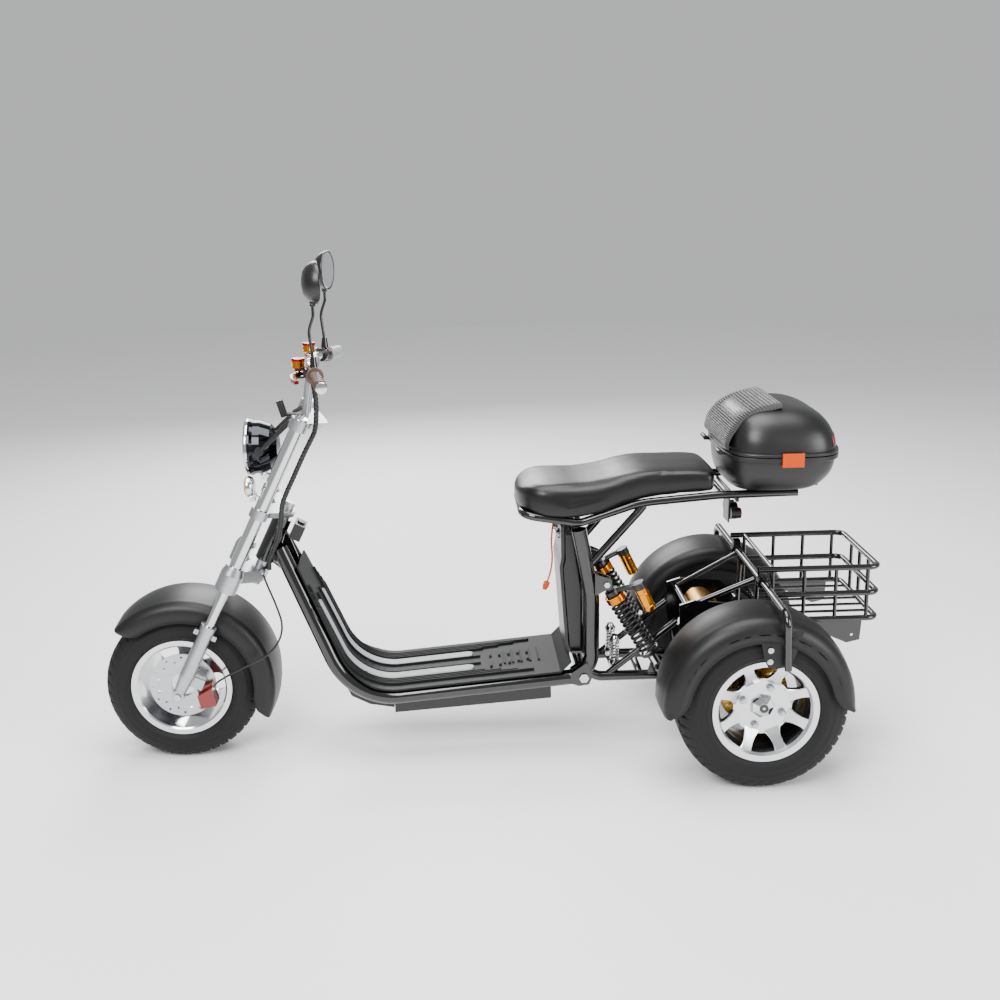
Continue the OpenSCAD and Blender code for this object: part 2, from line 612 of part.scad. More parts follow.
module headlight_shell() {
  color("#1a1a1c") translate(head_mid) rotate([0, -90, 0]) rotate_extrude() polygon([[66, -10],
    [76, -10], [77, 4], [73, 12], [72, 30], [62, 56], [40, 74], [0, 80], [0, 76], [38, 70],
    [58, 54], [68, 30], [69, 6], [66, 2]]);
}
module headlight_lens() {
  color("#e8eef2") translate(head_mid) rotate([0, -90, 0]) rotate_extrude() polygon([[0, -12],
    [40, -9], [65.7, -4], [65.7, 0], [40, -5], [0, -8]]);
}
module headlight_bracket() {
  color("#3a3c3e") pair() {
    translate(head_mid + [-32, 78, 4]) rotate([90, 0, 0]) cylinder(h = 9, r = 12, center = true);
    bent_tube([head_mid + [-32, 79, 4], up_fork(26, 79, top_s - 4), up_fork(12, 79, top_s + 16)], 6, [10]);
  }
  color("#b8babd") bar(head_mid + [-95, 0, 82], head_mid + [-82, 0, 126], 10);
  color("#3a3c3e") bar(head_mid + [-88, 0, 90], up_fork(-1, 0, top_s + 14), 6);
}
module turn_signals() {
  color("#c8cacd") pair() {
    bar(up_fork(fork_tube_d / 2 + 13, leg_y - 4, mid_s + 13), fore(-234, leg_y - 8, 776), 5);
    translate(fore(-234, leg_y - 8, 798)) rotate([0, -90, 0]) cylinder(h = 14, r = 28);
  }
  color("#e89020") pair() translate(fore(-220, leg_y - 8, 798)) rotate([0, -90, 0]) cylinder(h = 13.9, r = 25);
  color("#c8cacd") pair() translate(fore(-226, leg_y - 8, 763)) cube([22, 30, 10], center = true);
}
mirror_base = on_bar(lever_y + 24) + [0, 0, bar_d / 2 + 8];
mirror_mid = [mirror_base[0] - 6, mirror_base[1] + 6, bar_centre[2] + mirror_rise];
module mirror_stems() {
  knee = mirror_base + [8, 2, 92];
  color("#121212") pair() {
    bent_tube([mirror_base + [0, 0, 2], mirror_base + [2, 0, 40], knee, mirror_mid + [0, 0, -84],
      mirror_mid + [0, 0, -46]], 4, [60, 60, 30]);
    translate(mirror_base + [0, 0, 0.9]) cylinder(h = 27, r1 = 11, r2 = 7);
  }
}
// mirror head: a shallow bowl with its glass facing backwards
module mirror_head() {
  translate(mirror_mid) rotate([0, 0, -12]) {
    color("#141414") difference() {
      union() {
        rotate([0, 90, 0]) rotate_extrude() polygon([[0, 26], [30, 22], [48, 8], [54, -10], [54, -14],
          [0, -14]]);
        translate([0, 0, -57]) cylinder(h = 20, r = 8);
      }
      rotate([0, -90, 0]) translate([0, 0, 10]) cylinder(h = 20, r = 50);
      translate([0, 0, -60]) cylinder(h = 16, r = 4 + running);
    }
    color("#c8d0d4") rotate([0, -90, 0]) translate([0, 0, 10.3]) cylinder(h = 3, r = 49.6);
  }
}
module left_mirror() { mirror_head(); }
module right_mirror() { mirror([0, 1, 0]) mirror_head(); }
module wiring_loom() { color("#141414") cord(loom_pts, loom_r, 12); }

// ---- fork and front wheel ----
module fork_lowers() {
  color("#b4b7ba") difference() {
    union() {
      pair() in_fork(0, leg_y, 0) {
        cylinder(h = 62, r1 = 15, r2 = 20);
        translate([0, 0, 62]) cylinder(h = lower_top_s - 80, r = 20);
        translate([0, 0, lower_top_s - 18]) cylinder(h = 18, r = 22.5);
        rotate([90, 0, 0]) cylinder(h = 30, r = 18, center = true);
      }
      pair() for (s = [-1, 1]) in_fork(s * 24, leg_y - 12, lower_top_s - 34) cube([16, 12, 14], center = true);
      in_fork(-30, leg_y - 24, 42) cube([44, 8, 30], center = true);
      in_fork(-16, leg_y - 18, 42) cube([12, 18, 22], center = true);
    }
    pair() in_fork(0, leg_y, 96) cylinder(h = lower_top_s, r = stanchion_d / 2 + running);
    across([fx, 0, front_r], axle_r + seated, leg_spacing + 60);
  }
}
module front_axle() {
  color("#c8cacd") translate([fx, 0, front_r]) rotate([90, 0, 0]) {
    hex_bolt(leg_spacing + 34, axle_r);
    for (s = [-1, 1]) translate([0, 0, s * (leg_y - 17 + hub_half) / 2]) difference() {
      cylinder(h = leg_y - 17 - hub_half - 0.6, r = 12, center = true);
      cylinder(h = leg_y, r = axle_r + seated, center = true);
    }
  }
}
// mudguard section, from its inner edge over the crown; x is the radius
function guard_section(r, w, skirt, t) = let (c = 26,
    out = concat([[r - skirt, -w]], [for (i = [0 : 6]) [r - c - 6 + (c + 6) * sin(i * 15), -w + c - c * cos(i * 15)]],
      [for (i = [6 : -1 : 0]) [r - c - 6 + (c + 6) * sin(i * 15), w - c + c * cos(i * 15)]], [[r - skirt, w]]),
    in = concat([[r - skirt, w - t]], [for (i = [0 : 6]) [r - c - 6 + (c + 6 - t) * sin(i * 15), w - c + (c - t) * cos(i * 15)]],
      [for (i = [6 : -1 : 0]) [r - c - 6 + (c + 6 - t) * sin(i * 15), -w + c - (c - t) * cos(i * 15)]], [[r - skirt, -w + t]]))
  concat(out, in);
// a mudguard about the Y axis, from angle a0 to a1 measured from +X towards +Z
module guard(r, w, skirt, a0, a1) {
  rotate([90, 0, 0]) rotate([0, 0, a0]) rotate_extrude(angle = a1 - a0) polygon(guard_section(r, w, skirt, 3.5));
}
module front_fender() {
  y = leg_y - 25;
  color("#1c1c1c") {
    translate([fx - 8, 0, front_r + 3]) guard(front_r + 43, y, 58, 45, 202);
    pair() in_fork(0, y + 0.3, lower_top_s - 20) cube([40, 3.8, 44], center = true);
  }
}
module front_caliper() {
  p = fore(-68, 0, front_r - 24);
  inner = hub_half - 6;
  outer = leg_y - 28.5;
  color("#c01818") difference() {
    translate(p + [0, (inner + outer) / 2, 0]) rotate([0, 12, 0]) cube([44, outer - inner, 60], center = true);
    across([fx, hub_half + 6, front_r], disc_d / 2 + 6, 9);
    across([fx, hub_half, front_r], 50, 40);
    translate(p + [0, outer - 8, 30]) rotate([0, 30, 0]) cube([90, 17, 22], center = true);
  }
}
module front_brake_hose() { color("#101010") cord(hose_pts, hose_r); }
// tyre carcass about its own centre, as [radius, across]: a C open to the rim
function tyre_side(R, w, f, s) = [for (i = [0 : 8]) let (a = 10 + i * 80 / 8)
  [f + (R - f) * pow(sin(a), 0.9), s * w / 2 * pow(cos(a), 0.42)]];
function back(v) = [for (i = [len(v) - 1 : -1 : 0]) v[i]];
function tyre_section(R, w) = let (b = barrel_r + 0.3, f = rim_d / 2 + 0.5, h = rim_w / 2 - 8.4, t = 10)
  concat([[b, -h], [f, -h]], tyre_side(R, w, f + 5, -1), back([for (i = [0 : 7]) tyre_side(R, w, f + 5, 1)[i]]),
    [[f, h], [b, h], [b, h - t], [f + 6, h - t]], tyre_side(R - t, w - 2 * t, f + 12, 1),
    back([for (i = [0 : 7]) tyre_side(R - t, w - 2 * t, f + 12, -1)[i]]), [[f + 6, -h + t], [b, -h + t]]);
module tyre(R) { rotate([90, 0, 0]) rotate_extrude() polygon(tyre_section(R, tyre_w)); }
// rim barrel with its two flanges, about the Y axis
module rim_barrel() {
  f = rim_d / 2;
  h = rim_w / 2;
  rotate([90, 0, 0]) rotate_extrude() polygon([[barrel_r - 6, -h + 3], [barrel_r - 2, -h], [f - 2, -h],
    [f, -h + 3], [f - 1, -h + 6], [barrel_r, -h + 8], [barrel_r, h - 8], [f - 1, h - 6], [f, h - 3],
    [f - 2, h], [barrel_r - 2, h], [barrel_r - 6, h - 3]]);
}
module front_tyre() { color("#161616") translate([fx, 0, front_r]) tyre(front_r); }
module front_rim() {
  color("#d8dadc") translate([fx, 0, front_r]) difference() {
    union() {
      rim_barrel();
      translate([0, -24, 0]) rotate([90, 0, 0]) cylinder(h = 10, r = barrel_r - 3, center = true);
      across([0, 0, 0], 34, 2 * hub_half);
      across([0, 40, 0], 48, 8);
    }
    across([0, 0, 0], axle_r + running, 200);
    for (i = [0 : 4]) rotate([0, 72 * i + 18, 0]) across([84, -24, 0], 27, 30);
  }
}
module front_disc() {
  color("#c0c2c4") translate([fx, hub_half, front_r]) difference() {
    union() {
      across([0, 6, 0], disc_d / 2, 4);
      across([0, 0, 0], 46, 14);
    }
    across([0, 0, 0], 34 + seated, 60);
    for (i = [0 : 11]) rotate([0, 30 * i, 0]) {
      across([disc_d / 2 - 10, 6, 0], 3.5, 10);
      rotate([0, 15, 0]) across([disc_d / 2 - 22, 6, 0], 3.5, 10);
    }
  }
}
// ---- rear carriage ----
arm_y = frame_y - frame_r - 18;
arm_r = 14;
module swingarm() {
  color("#0d0d0d") difference() {
    union() {
      across(pivot, 17, 2 * (frame_y - frame_r - 8));
      pair() bent_tube([[pivot[0], arm_y, pivot[2]], at(396, arm_y, 214), at(110, arm_y, 214)],
        arm_r, [40]);
      across(at(347, 0, 214), 11, 2 * arm_y);
      across(at(280, 0, 214), 11, 2 * arm_y);
      pair() bar(at(372, arm_y, 220), at(180, arm_y, 372), 9);
      pair() plate([at2(210, 214), at2(262, 214), at2(246, 270), at2(222, 270)], arm_y + 4, 10);
      pair() bar([shock_low[0], arm_y, shock_low[2]], [shock_low[0], shock_low[1] + 16, shock_low[2]], 6);
    }
    across(pivot, pivot_bolt_r + running, 400);
  }
}
module axle_carrier() {
  y = arm_y + arm_r + 3.3;
  pts = [[rx + 176, 424], [rx + 138, 436], [rx + 20, 424], [rx - 56, 330], [rx - 66, 200], [rx - 40, 176],
    [rx + 80, 176], [rx + 150, 246], [rx + 176, 330]];
  color("#0d0d0d") {
    pair() difference() {
      plate(pts, y, 6);
      across([rx + 60, y, 350], 34, 30);
      across([rx + 132, y, 300], 16, 30);
      across([rx, y, 322], 16, 30);
    }
    difference() {
      across([rx, 0, rear_r], 30, 2 * (wheel_y - tyre_w / 2 - 12));
      across([rx, 0, rear_r], stub_r - 1, 2 * wheel_y);
    }
    across([rx + 152, 0, 414], 8, 2 * y);
    pair() bar([rx + 152, y - 12, 414], [hoop_x + 10.8, y + 14, hoop_z - 4], 7);
    pair() bar([rx - 30, y, 350], [hoop_x, y, hoop_z - hoop_r - 0.9], 7);
  }
  color("#c8cacd") {
    across([rx, 0, rear_r], stub_r, 2 * (wheel_y + rim_w / 2 - 21));
    pair() across([rx + 152, y + 6.5, 414], 9, 7);
  }
}
module drive_motor() {
  color("#b08a3a") {
    across([rx + 96, 0, 380], 44, 92);
    across([rx + 96, 0, 380], 30, 120);
  }
  color("#6a6c6e") translate([rx + 46, 0, 297]) cube([56, 110, 80], center = true);
}
module fender_hoop() {
  color("#101010") {
    bent_tube(both([[hoop_x - 6, hoop_y, 356], [hoop_x, hoop_y, hoop_z]]), hoop_r, [34, 34], 2);
    pair() for (y = [basket_w / 2 - 18]) {
      bar([hoop_x, y - 12, hoop_z], [hoop_x, y + 12, hoop_z], hoop_r + 5);
      translate([hoop_x, y, (hoop_z + basket_z) / 2]) cube([20, 22, basket_z - hoop_z - 18], center = true);
    }
  }
}
module rear_fenders() {
  w = 97.75;
  y = wheel_y + 5.25;
  color("#1c1c1c") pair() {
    translate([fender_mid[0], y, fender_mid[2]]) guard(fender_r, w, 62, -4, 182);
    translate([hoop_x + 14, y + w - 1.5, 0]) plate([[-34, 440], [46, 440], [40, 372], [10, 352],
      [-22, 352], [-30, 372]], 0, 4);
    bar([hoop_x - 6, y + w - 1, 362], [hoop_x - 6, hoop_y - hoop_r - 0.3, 362], 7);
  }
}
module basket() {
  r = 8;
  back = rx - basket_overhang + r;
  hy = basket_w / 2 - r;
  mid_z = basket_z - basket_h / 2;
  low_z = basket_z - basket_h;
  front = hoop_x - 26;
  color("#0f0f0f") {
    bent_tube(both([[hoop_x + 14, hy, basket_z], [back, hy, basket_z]]), r, [24, 24], 1.5);
    for (z = [mid_z, low_z]) bent_tube(both([[front, hy, z], [back, hy, z]]), r, [24, 24], 1.5);
    for (z = [basket_z, mid_z, low_z]) across([front, 0, z], 6, 2 * hy);
    pair() for (k = [0 : 3]) bar([front - k * (front - back - 30) / 3, hy, low_z],
      [front - k * (front - back - 30) / 3, hy, basket_z], 5);
    for (y = [-70, 0, 70]) bar([back, y, low_z], [back, y, basket_z], 5);
    for (y = [-100, -50, 0, 50, 100]) bar([back, y, low_z], [front, y, low_z], 4);
    pair() difference() {
      plate([[back + 40, low_z], [back + 190, low_z], [back + 150, low_z - 38], [back + 80, low_z - 70],
        [back + 44, low_z - 62]], hy, 4);
      across([back + 66, hy, low_z - 48], 4.2, 20);
    }
  }
}
module rear_calipers() {
  y = wheel_y - rim_w / 2 + 22;
  color("#b01820") pair() difference() {
    translate([rx + 66, y - 8, rear_r + 54]) rotate([0, 50, 0]) cube([40, 44, 46], center = true);
    across([rx, y, rear_r], disc_d / 2 + 5, 9);
    across([rx, y, rear_r], 62, 90);
  }
  color("#303234") pair() bar([rx + 62, y - 26, rear_r + 50], [rx + 40, arm_y + arm_r + 8.9, rear_r + 34], 8);
}
module bump_springs() {
  color("#c4c6c8") pair() {
    translate(at(347, 45, 225)) cylinder(h = 97, r = 5);
    for (k = [0 : 5]) translate(at(347, 45, 256 + k * 9)) rotate_extrude() translate([12, 0]) circle(2.4);
    translate(at(347, 45, 225)) cylinder(h = 25, r = 15);
    translate(at(347, 45, 306)) cylinder(h = 8, r = 15);
  }
}
module rear_tyre() { color("#161616") translate([rx, wheel_y, rear_r]) tyre(rear_r); }
// eight rounded windows, each a small and a large circle joined by straight sides
module window_2d() {
  translate([70, 0]) circle(10);
  translate([98, 0]) circle(17);
  polygon([[68, -9.7], [94, -16.5], [94, 16.5], [68, 9.7]]);
}
module rear_rim() {
  h = rim_w / 2;
  face = h - 16;
  translate([rx, wheel_y, rear_r]) {
    color("#dcdee0") difference() {
      union() {
        rim_barrel();
        translate([0, face + 6, 0]) rotate([90, 0, 0]) linear_extrude(12) difference() {
          circle(barrel_r - 3);
          for (i = [0 : 7]) rotate(45 * i + 22.5) window_2d();
        }
        across([0, 4, 0], 40, 2 * face - 10);
      }
      across([0, -6, 0], stub_r + running, 2 * face + 8);
    }
    color("#c0c2c4") {
      for (i = [0 : 3]) rotate([0, 90 * i + 20, 0]) translate([lug_pcd / 2, face + 6, 0]) rotate([-90, 0, 0])
        cylinder(h = 11, r = 9, $fn = 6);
      translate([0, face + 6, 0]) rotate([-90, 0, 0]) cylinder(h = 9, r1 = 30, r2 = 20);
    }
    color("#b8922c") difference() {
      across([0, -h + 22, 0], disc_d / 2, 5);
      across([0, -h + 22, 0], 40 + seated, 20);
    }
  }
}
module left_rear_tyre() { rear_tyre(); }
module right_rear_tyre() { mirror([0, 1, 0]) rear_tyre(); }
module left_rear_rim() { rear_rim(); }
module right_rear_rim() { mirror([0, 1, 0]) rear_rim(); }

// ---- rear shocks, measured down the shock's own axis from its top eye ----
module on_shock(s = 0) { translate(shock_top) rotate([0, shock_tilt + 180, 0]) translate([0, 0, s]) children(); }
module shock_bodies() {
  pair() {
    color("#141414") difference() {
      union() {
        on_shock() rotate([90, 0, 0]) cylinder(h = 24, r = 13, center = true);
        on_shock(6) cylinder(h = 20, r = 10);
        on_shock(25) cylinder(h = 15, r = 20);
        bar(at(366, 128, 478), at(302, 150, 500), 8);
        bar(at(302, 150, 512), at(293, 152, 494), 18);
      }
      across(shock_top, 5 + running, 80);
      on_shock(30) cylinder(h = 20, r = 10);
    }
    color("#c8862a") {
      difference() {
        on_shock(40.2) cylinder(h = 20, r = 28);
        on_shock(38) cylinder(h = 30, r = 10);
      }
      bar(at(292.8, 152, 493.6), at(266, 152, 436), 17);
    }
    color("#202020") difference() {
      on_shock(34) cylinder(h = 130, r = 9.9);
      on_shock(80) cylinder(h = 100, r = 6 + running);
    }
  }
}
module shock_springs() {
  color("#101010") pair() for (k = [0 : 8]) on_shock(66 + k * 19) rotate_extrude() translate([23, 0]) circle(4.6);
}
module shock_rods() {
  color("#b8babd") pair() difference() {
    union() {
      on_shock(112) cylinder(h = shock_len - 118, r = 6);
      on_shock(228) cylinder(h = 12, r = 27);
      on_shock(238) cylinder(h = shock_len - 246, r = 11);
      on_shock(shock_len) rotate([90, 0, 0]) cylinder(h = 24, r = 15, center = true);
    }
    across(shock_low, 6 + eye_play, 80);
  }
}

main_frame();
deck_panel();
belly_pan();
controller_box();
battery_pack();
battery_cover();
charge_port();
seat_frame();
seat_cushion();
box_base();
neck_box();
tail_lights();
battery_lead();
battery_connector();
frame_bolts();
box_lid();
backrest_pad();
left_box_latch();
right_box_latch();
steering_stem();
fork_tubes();
triple_clamps();
handlebar();
left_grip();
bar_controls();
brake_reservoirs();
headlight_shell();
headlight_lens();
headlight_bracket();
turn_signals();
mirror_stems();
wiring_loom();
throttle_grip();
left_brake_lever();
right_brake_lever();
left_mirror();
right_mirror();
fork_lowers();
front_axle();
front_fender();
front_caliper();
front_brake_hose();
front_tyre();
front_rim();
front_disc();
swingarm();
axle_carrier();
drive_motor();
fender_hoop();
rear_fenders();
basket();
rear_calipers();
bump_springs();
left_rear_tyre();
left_rear_rim();
right_rear_tyre();
right_rear_rim();
shock_bodies();
shock_springs();
shock_rods();
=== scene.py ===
"""Adult tricycle: finishes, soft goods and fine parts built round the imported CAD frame."""

import functools
import json
import math

import bmesh
import bpy
import numpy as np
from mathutils import Matrix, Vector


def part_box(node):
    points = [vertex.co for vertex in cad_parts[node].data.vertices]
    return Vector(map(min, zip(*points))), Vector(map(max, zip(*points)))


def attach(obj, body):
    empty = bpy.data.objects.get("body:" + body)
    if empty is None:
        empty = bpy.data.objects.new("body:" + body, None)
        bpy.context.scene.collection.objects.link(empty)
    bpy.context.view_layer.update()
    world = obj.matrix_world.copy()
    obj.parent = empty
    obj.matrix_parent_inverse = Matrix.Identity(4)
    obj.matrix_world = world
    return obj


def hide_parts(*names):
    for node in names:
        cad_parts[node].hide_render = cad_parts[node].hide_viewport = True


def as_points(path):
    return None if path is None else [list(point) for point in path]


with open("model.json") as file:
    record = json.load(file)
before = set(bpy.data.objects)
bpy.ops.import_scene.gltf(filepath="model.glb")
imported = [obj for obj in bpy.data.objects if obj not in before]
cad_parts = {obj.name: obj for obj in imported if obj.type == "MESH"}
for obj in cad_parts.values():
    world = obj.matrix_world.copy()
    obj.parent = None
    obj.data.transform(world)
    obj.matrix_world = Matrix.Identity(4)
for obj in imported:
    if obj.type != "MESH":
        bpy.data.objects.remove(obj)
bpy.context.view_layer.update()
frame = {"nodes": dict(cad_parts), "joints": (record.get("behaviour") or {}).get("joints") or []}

bl_info = {
    "name": "Adult tricycle finishes",
    "version": (1, 0, 0),
    "blender": (4, 5, 0),
    "location": "View3D > Sidebar > Trike",
    "description": "Tyres, wheels, seat, springs, lamps and paint for an adult tricycle",
    "category": "Object",
}


# ---------------------------------------------------------------- places
def array(*xyz):
    """A point or direction as a numpy array."""
    return np.array(xyz, float)


def unit(v):
    """The same direction with length one."""
    return v / np.linalg.norm(v)


JOINTS = {j["name"]: j for j in frame["joints"]}
FRONT = array(*JOINTS["front_wheel_spin"]["pos_m"])
REAR = array(*JOINTS["left_rear_wheel_spin"]["pos_m"])
FORWARD, ACROSS, UP = array(1, 0, 0), array(0, 1, 0), array(0, 0, 1)
SHOCK_AXIS = unit(array(*JOINTS["shock_stroke"]["axis"]))
SIDES = {"left": 1, "right": -1}
MM = 0.001
RIM_HALF = 0.079  # half the width of a rear wheel
BOX_X, SEAM, LID_FOOT = -0.792, 0.856, 0.8575  # middle of the luggage box, its seam, and the foot of its lid


def corners(node):
    """Lowest and highest corner of a CAD node, as arrays."""
    low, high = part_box(node)
    return np.array(low), np.array(high)


def flip(points, side):
    """The points as they are for side 1, mirrored to the other side of the vehicle for side -1."""
    return np.asarray(points) * array(1, side, 1)


# ---------------------------------------------------------------- meshes
def grid(points, loop_u=False, loop_v=False):
    """Vertices and quads of a surface P(u, v) given on a rows-by-columns grid of points."""
    rows, cols = points.shape[:2]
    i, j = np.meshgrid(np.arange(rows if loop_u else rows - 1), np.arange(cols if loop_v else cols - 1),
                       indexing="ij")
    a, b = (i + 1) % rows, (j + 1) % cols
    quads = np.stack([i * cols + j, a * cols + j, a * cols + b, i * cols + b], -1).reshape(-1, 4)
    return points.reshape(-1, 3), quads


def basis(axis):
    """Two unit vectors square to the axis and to each other."""
    axis = unit(np.asarray(axis, float))
    ref = array(0, 0, 1) if abs(axis[2]) < 0.9 else array(1, 0, 0)
    e1 = unit(np.cross(ref, axis))
    return axis, e1, np.cross(axis, e1)


def lathe(profile, middle, axis, sides=64):
    """A surface of revolution: P = middle + axis * along + radius * (cos a, sin a) round the axis."""
    axis, e1, e2 = basis(axis)
    r, along = np.asarray(profile, float).T
    a = np.linspace(0, 2 * np.pi, sides, endpoint=False)
    ring = np.cos(a)[:, None] * e1 + np.sin(a)[:, None] * e2
    return grid(middle + along[:, None, None] * axis + r[:, None, None] * ring, loop_v=True)


def closed_lathe(profile, middle, axis, sides=64):
    """A solid of revolution: the profile starts and ends on the axis or joins up with itself."""
    profile = [list(p) for p in profile]
    if profile[0][0] > 0 and profile[0] != profile[-1]:
        profile.append(profile[0])
    return lathe(profile, middle, axis, sides)


def smooth_path(points, count=120):
    """A curve through the points: Catmull-Rom, evenly spaced in its own parameter."""
    p = np.asarray(points, float)
    p = np.vstack([2 * p[0] - p[1], p, 2 * p[-1] - p[-2]])
    t = np.linspace(0, len(p) - 3.000001, count)
    k = t.astype(int)
    f = (t - k)[:, None]
    a, b, c, d = p[k], p[k + 1], p[k + 2], p[k + 3]
    return 0.5 * (2 * b + (c - a) * f + (2 * a - 5 * b + 4 * c - d) * f ** 2 + (3 * b - a - 3 * c + d) * f ** 3)


def tube(path, radius, sides=16, ref=(0, 0, 1)):
    """A tube: P(s, a) = path(s) + radius(s, a) * (cos a, sin a) in the plane square to the path, capped."""
    path = np.asarray(path, float)
    t = np.gradient(path, axis=0)
    t /= np.linalg.norm(t, axis=1)[:, None]
    e1 = np.cross(t, np.asarray(ref, float))
    e1 /= np.linalg.norm(e1, axis=1)[:, None]
    e2 = np.cross(t, e1)
    a = np.linspace(0, 2 * np.pi, sides, endpoint=False)
    r = np.broadcast_to(np.asarray(radius, float), (len(path), sides) if np.ndim(radius) == 2 else (len(path),))
    r = r if r.ndim == 2 else r[:, None]
    p = path[:, None] + (r * np.cos(a))[..., None] * e1[:, None] + (r * np.sin(a))[..., None] * e2[:, None]
    first, last = (np.broadcast_to(end, (1, sides, 3)) for end in (path[0], path[-1]))
    return grid(np.concatenate([first, p, last]), loop_v=True)


def helix(start, end, radius, turns, wire, per_turn=28, ground=0.0):
    """A coil: radius * (cos a, sin a) round the line from start to end, whose ends close up flat."""
    start, end = np.asarray(start, float), np.asarray(end, float)
    axis, e1, e2 = basis(end - start)
    u = np.linspace(0, 1, int(turns * per_turn) + 1)
    a = 2 * np.pi * turns * u
    rise = np.clip((u - ground) / (1 - 2 * ground), 0, 1)
    length = np.linalg.norm(end - start)
    path = start + (wire + rise * (length - 2 * wire))[:, None] * axis \
        + radius * (np.cos(a)[:, None] * e1 + np.sin(a)[:, None] * e2)
    return tube(path, wire, 10, ref=axis)


def box(middle, size):
    """A block of six faces along X, Y and Z."""
    s = np.array([[x, y, z] for x in (-0.5, 0.5) for y in (-0.5, 0.5) for z in (-0.5, 0.5)]) * size
    quads = np.array([[0, 1, 3, 2], [4, 6, 7, 5], [0, 4, 5, 1], [2, 3, 7, 6], [0, 2, 6, 4], [1, 5, 7, 3]])
    return middle + s, quads


def plate(outlines, thickness, bevel, place):
    """A flat plate with rounded edges: closed outlines, the inner ones holes, set in place by a matrix."""
    curve = bpy.data.curves.new("plate", "CURVE")
    curve.dimensions = "2D"
    curve.fill_mode = "BOTH"
    curve.extrude = thickness / 2 - bevel
    curve.bevel_depth = bevel
    curve.bevel_resolution = 2
    curve.offset = -bevel
    for outline in outlines:
        spline = curve.splines.new("POLY")
        spline.points.add(len(outline) - 1)
        flat = np.c_[np.asarray(outline), np.zeros(len(outline)), np.ones(len(outline))]
        spline.points.foreach_set("co", flat.ravel())
        spline.use_cyclic_u = True
    holder = bpy.data.objects.new("plate", curve)
    bpy.context.scene.collection.objects.link(holder)
    mesh = bpy.data.meshes.new_from_object(holder.evaluated_get(bpy.context.evaluated_depsgraph_get()))
    mesh.transform(place)
    points = np.zeros(len(mesh.vertices) * 3)
    mesh.vertices.foreach_get("co", points)
    faces = [list(f.vertices) for f in mesh.polygons]
    bpy.data.objects.remove(holder)
    bpy.data.curves.remove(curve)
    bpy.data.meshes.remove(mesh)
    return points.reshape(-1, 3), faces


def circle(x, y, r, count=32):
    """Points round a circle in the plane."""
    a = np.linspace(0, 2 * np.pi, count, endpoint=False)
    return np.c_[x + r * np.cos(a), y + r * np.sin(a)]


def facing(middle, normal, up=(0, 0, 1)):
    """A matrix that lays a flat plate at middle, facing along normal."""
    n = unit(np.asarray(normal, float))
    x = unit(np.cross(np.asarray(up, float), n))
    m = np.eye(4)
    m[:3, 0], m[:3, 1], m[:3, 2], m[:3, 3] = x, np.cross(n, x), n, middle
    return Matrix(m)


def build(name, parts, material, body, replaces=(), sharp=35, wall=0.0, round_off=0.0):
    """One object from several surfaces, smooth but for its sharp edges, riding on a CAD body."""
    points, faces, base = [], [], 0
    for vertices, polygons in parts:
        points.append(vertices)
        faces += (np.asarray(polygons) + base).tolist() if isinstance(polygons, np.ndarray) else \
            [[v + base for v in f] for f in polygons]
        base += len(vertices)
    mesh = bpy.data.meshes.new(name)
    mesh.from_pydata(np.vstack(points), [], faces)
    shape = bmesh.new()
    shape.from_mesh(mesh)
    bmesh.ops.remove_doubles(shape, verts=shape.verts, dist=1e-6)
    bmesh.ops.dissolve_degenerate(shape, edges=shape.edges, dist=1e-7)
    bmesh.ops.recalc_face_normals(shape, faces=shape.faces)
    shape.to_mesh(mesh)
    shape.free()
    mesh.shade_smooth()
    mesh.set_sharp_from_angle(angle=math.radians(sharp))
    mesh.materials.append(material)
    obj = bpy.data.objects.new(name, mesh)
    bpy.context.scene.collection.objects.link(obj)
    if wall:
        shell = obj.modifiers.new("Wall", "SOLIDIFY")
        shell.thickness, shell.offset = abs(wall), -1 if wall > 0 else 1
    if round_off:
        edge = obj.modifiers.new("Edge", "BEVEL")
        edge.width, edge.segments, edge.limit_method = round_off, 2, "ANGLE"
        edge.harden_normals = False
    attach(obj, body)
    if replaces:
        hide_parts(*replaces)
    return obj


# ---------------------------------------------------------------- materials
def colour(code):
    """A hex sRGB colour as linear red, green, blue and alpha."""
    srgb = np.array([int(code[i:i + 2], 16) for i in (1, 3, 5)]) / 255
    linear = np.where(srgb <= 0.04045, srgb / 12.92, ((srgb + 0.055) / 1.055) ** 2.4)
    return (*linear.tolist(), 1.0)


def add(tree, kind, inputs=None, **settings):
    """Adds a node; an input given as a socket is linked, and one given as a value is set."""
    made = tree.nodes.new(kind)
    for key, value in settings.items():
        setattr(made, key, value)
    for key, value in (inputs or {}).items():
        if isinstance(value, bpy.types.NodeSocket):
            tree.links.new(value, made.inputs[key])
        else:
            made.inputs[key].default_value = value
    return made


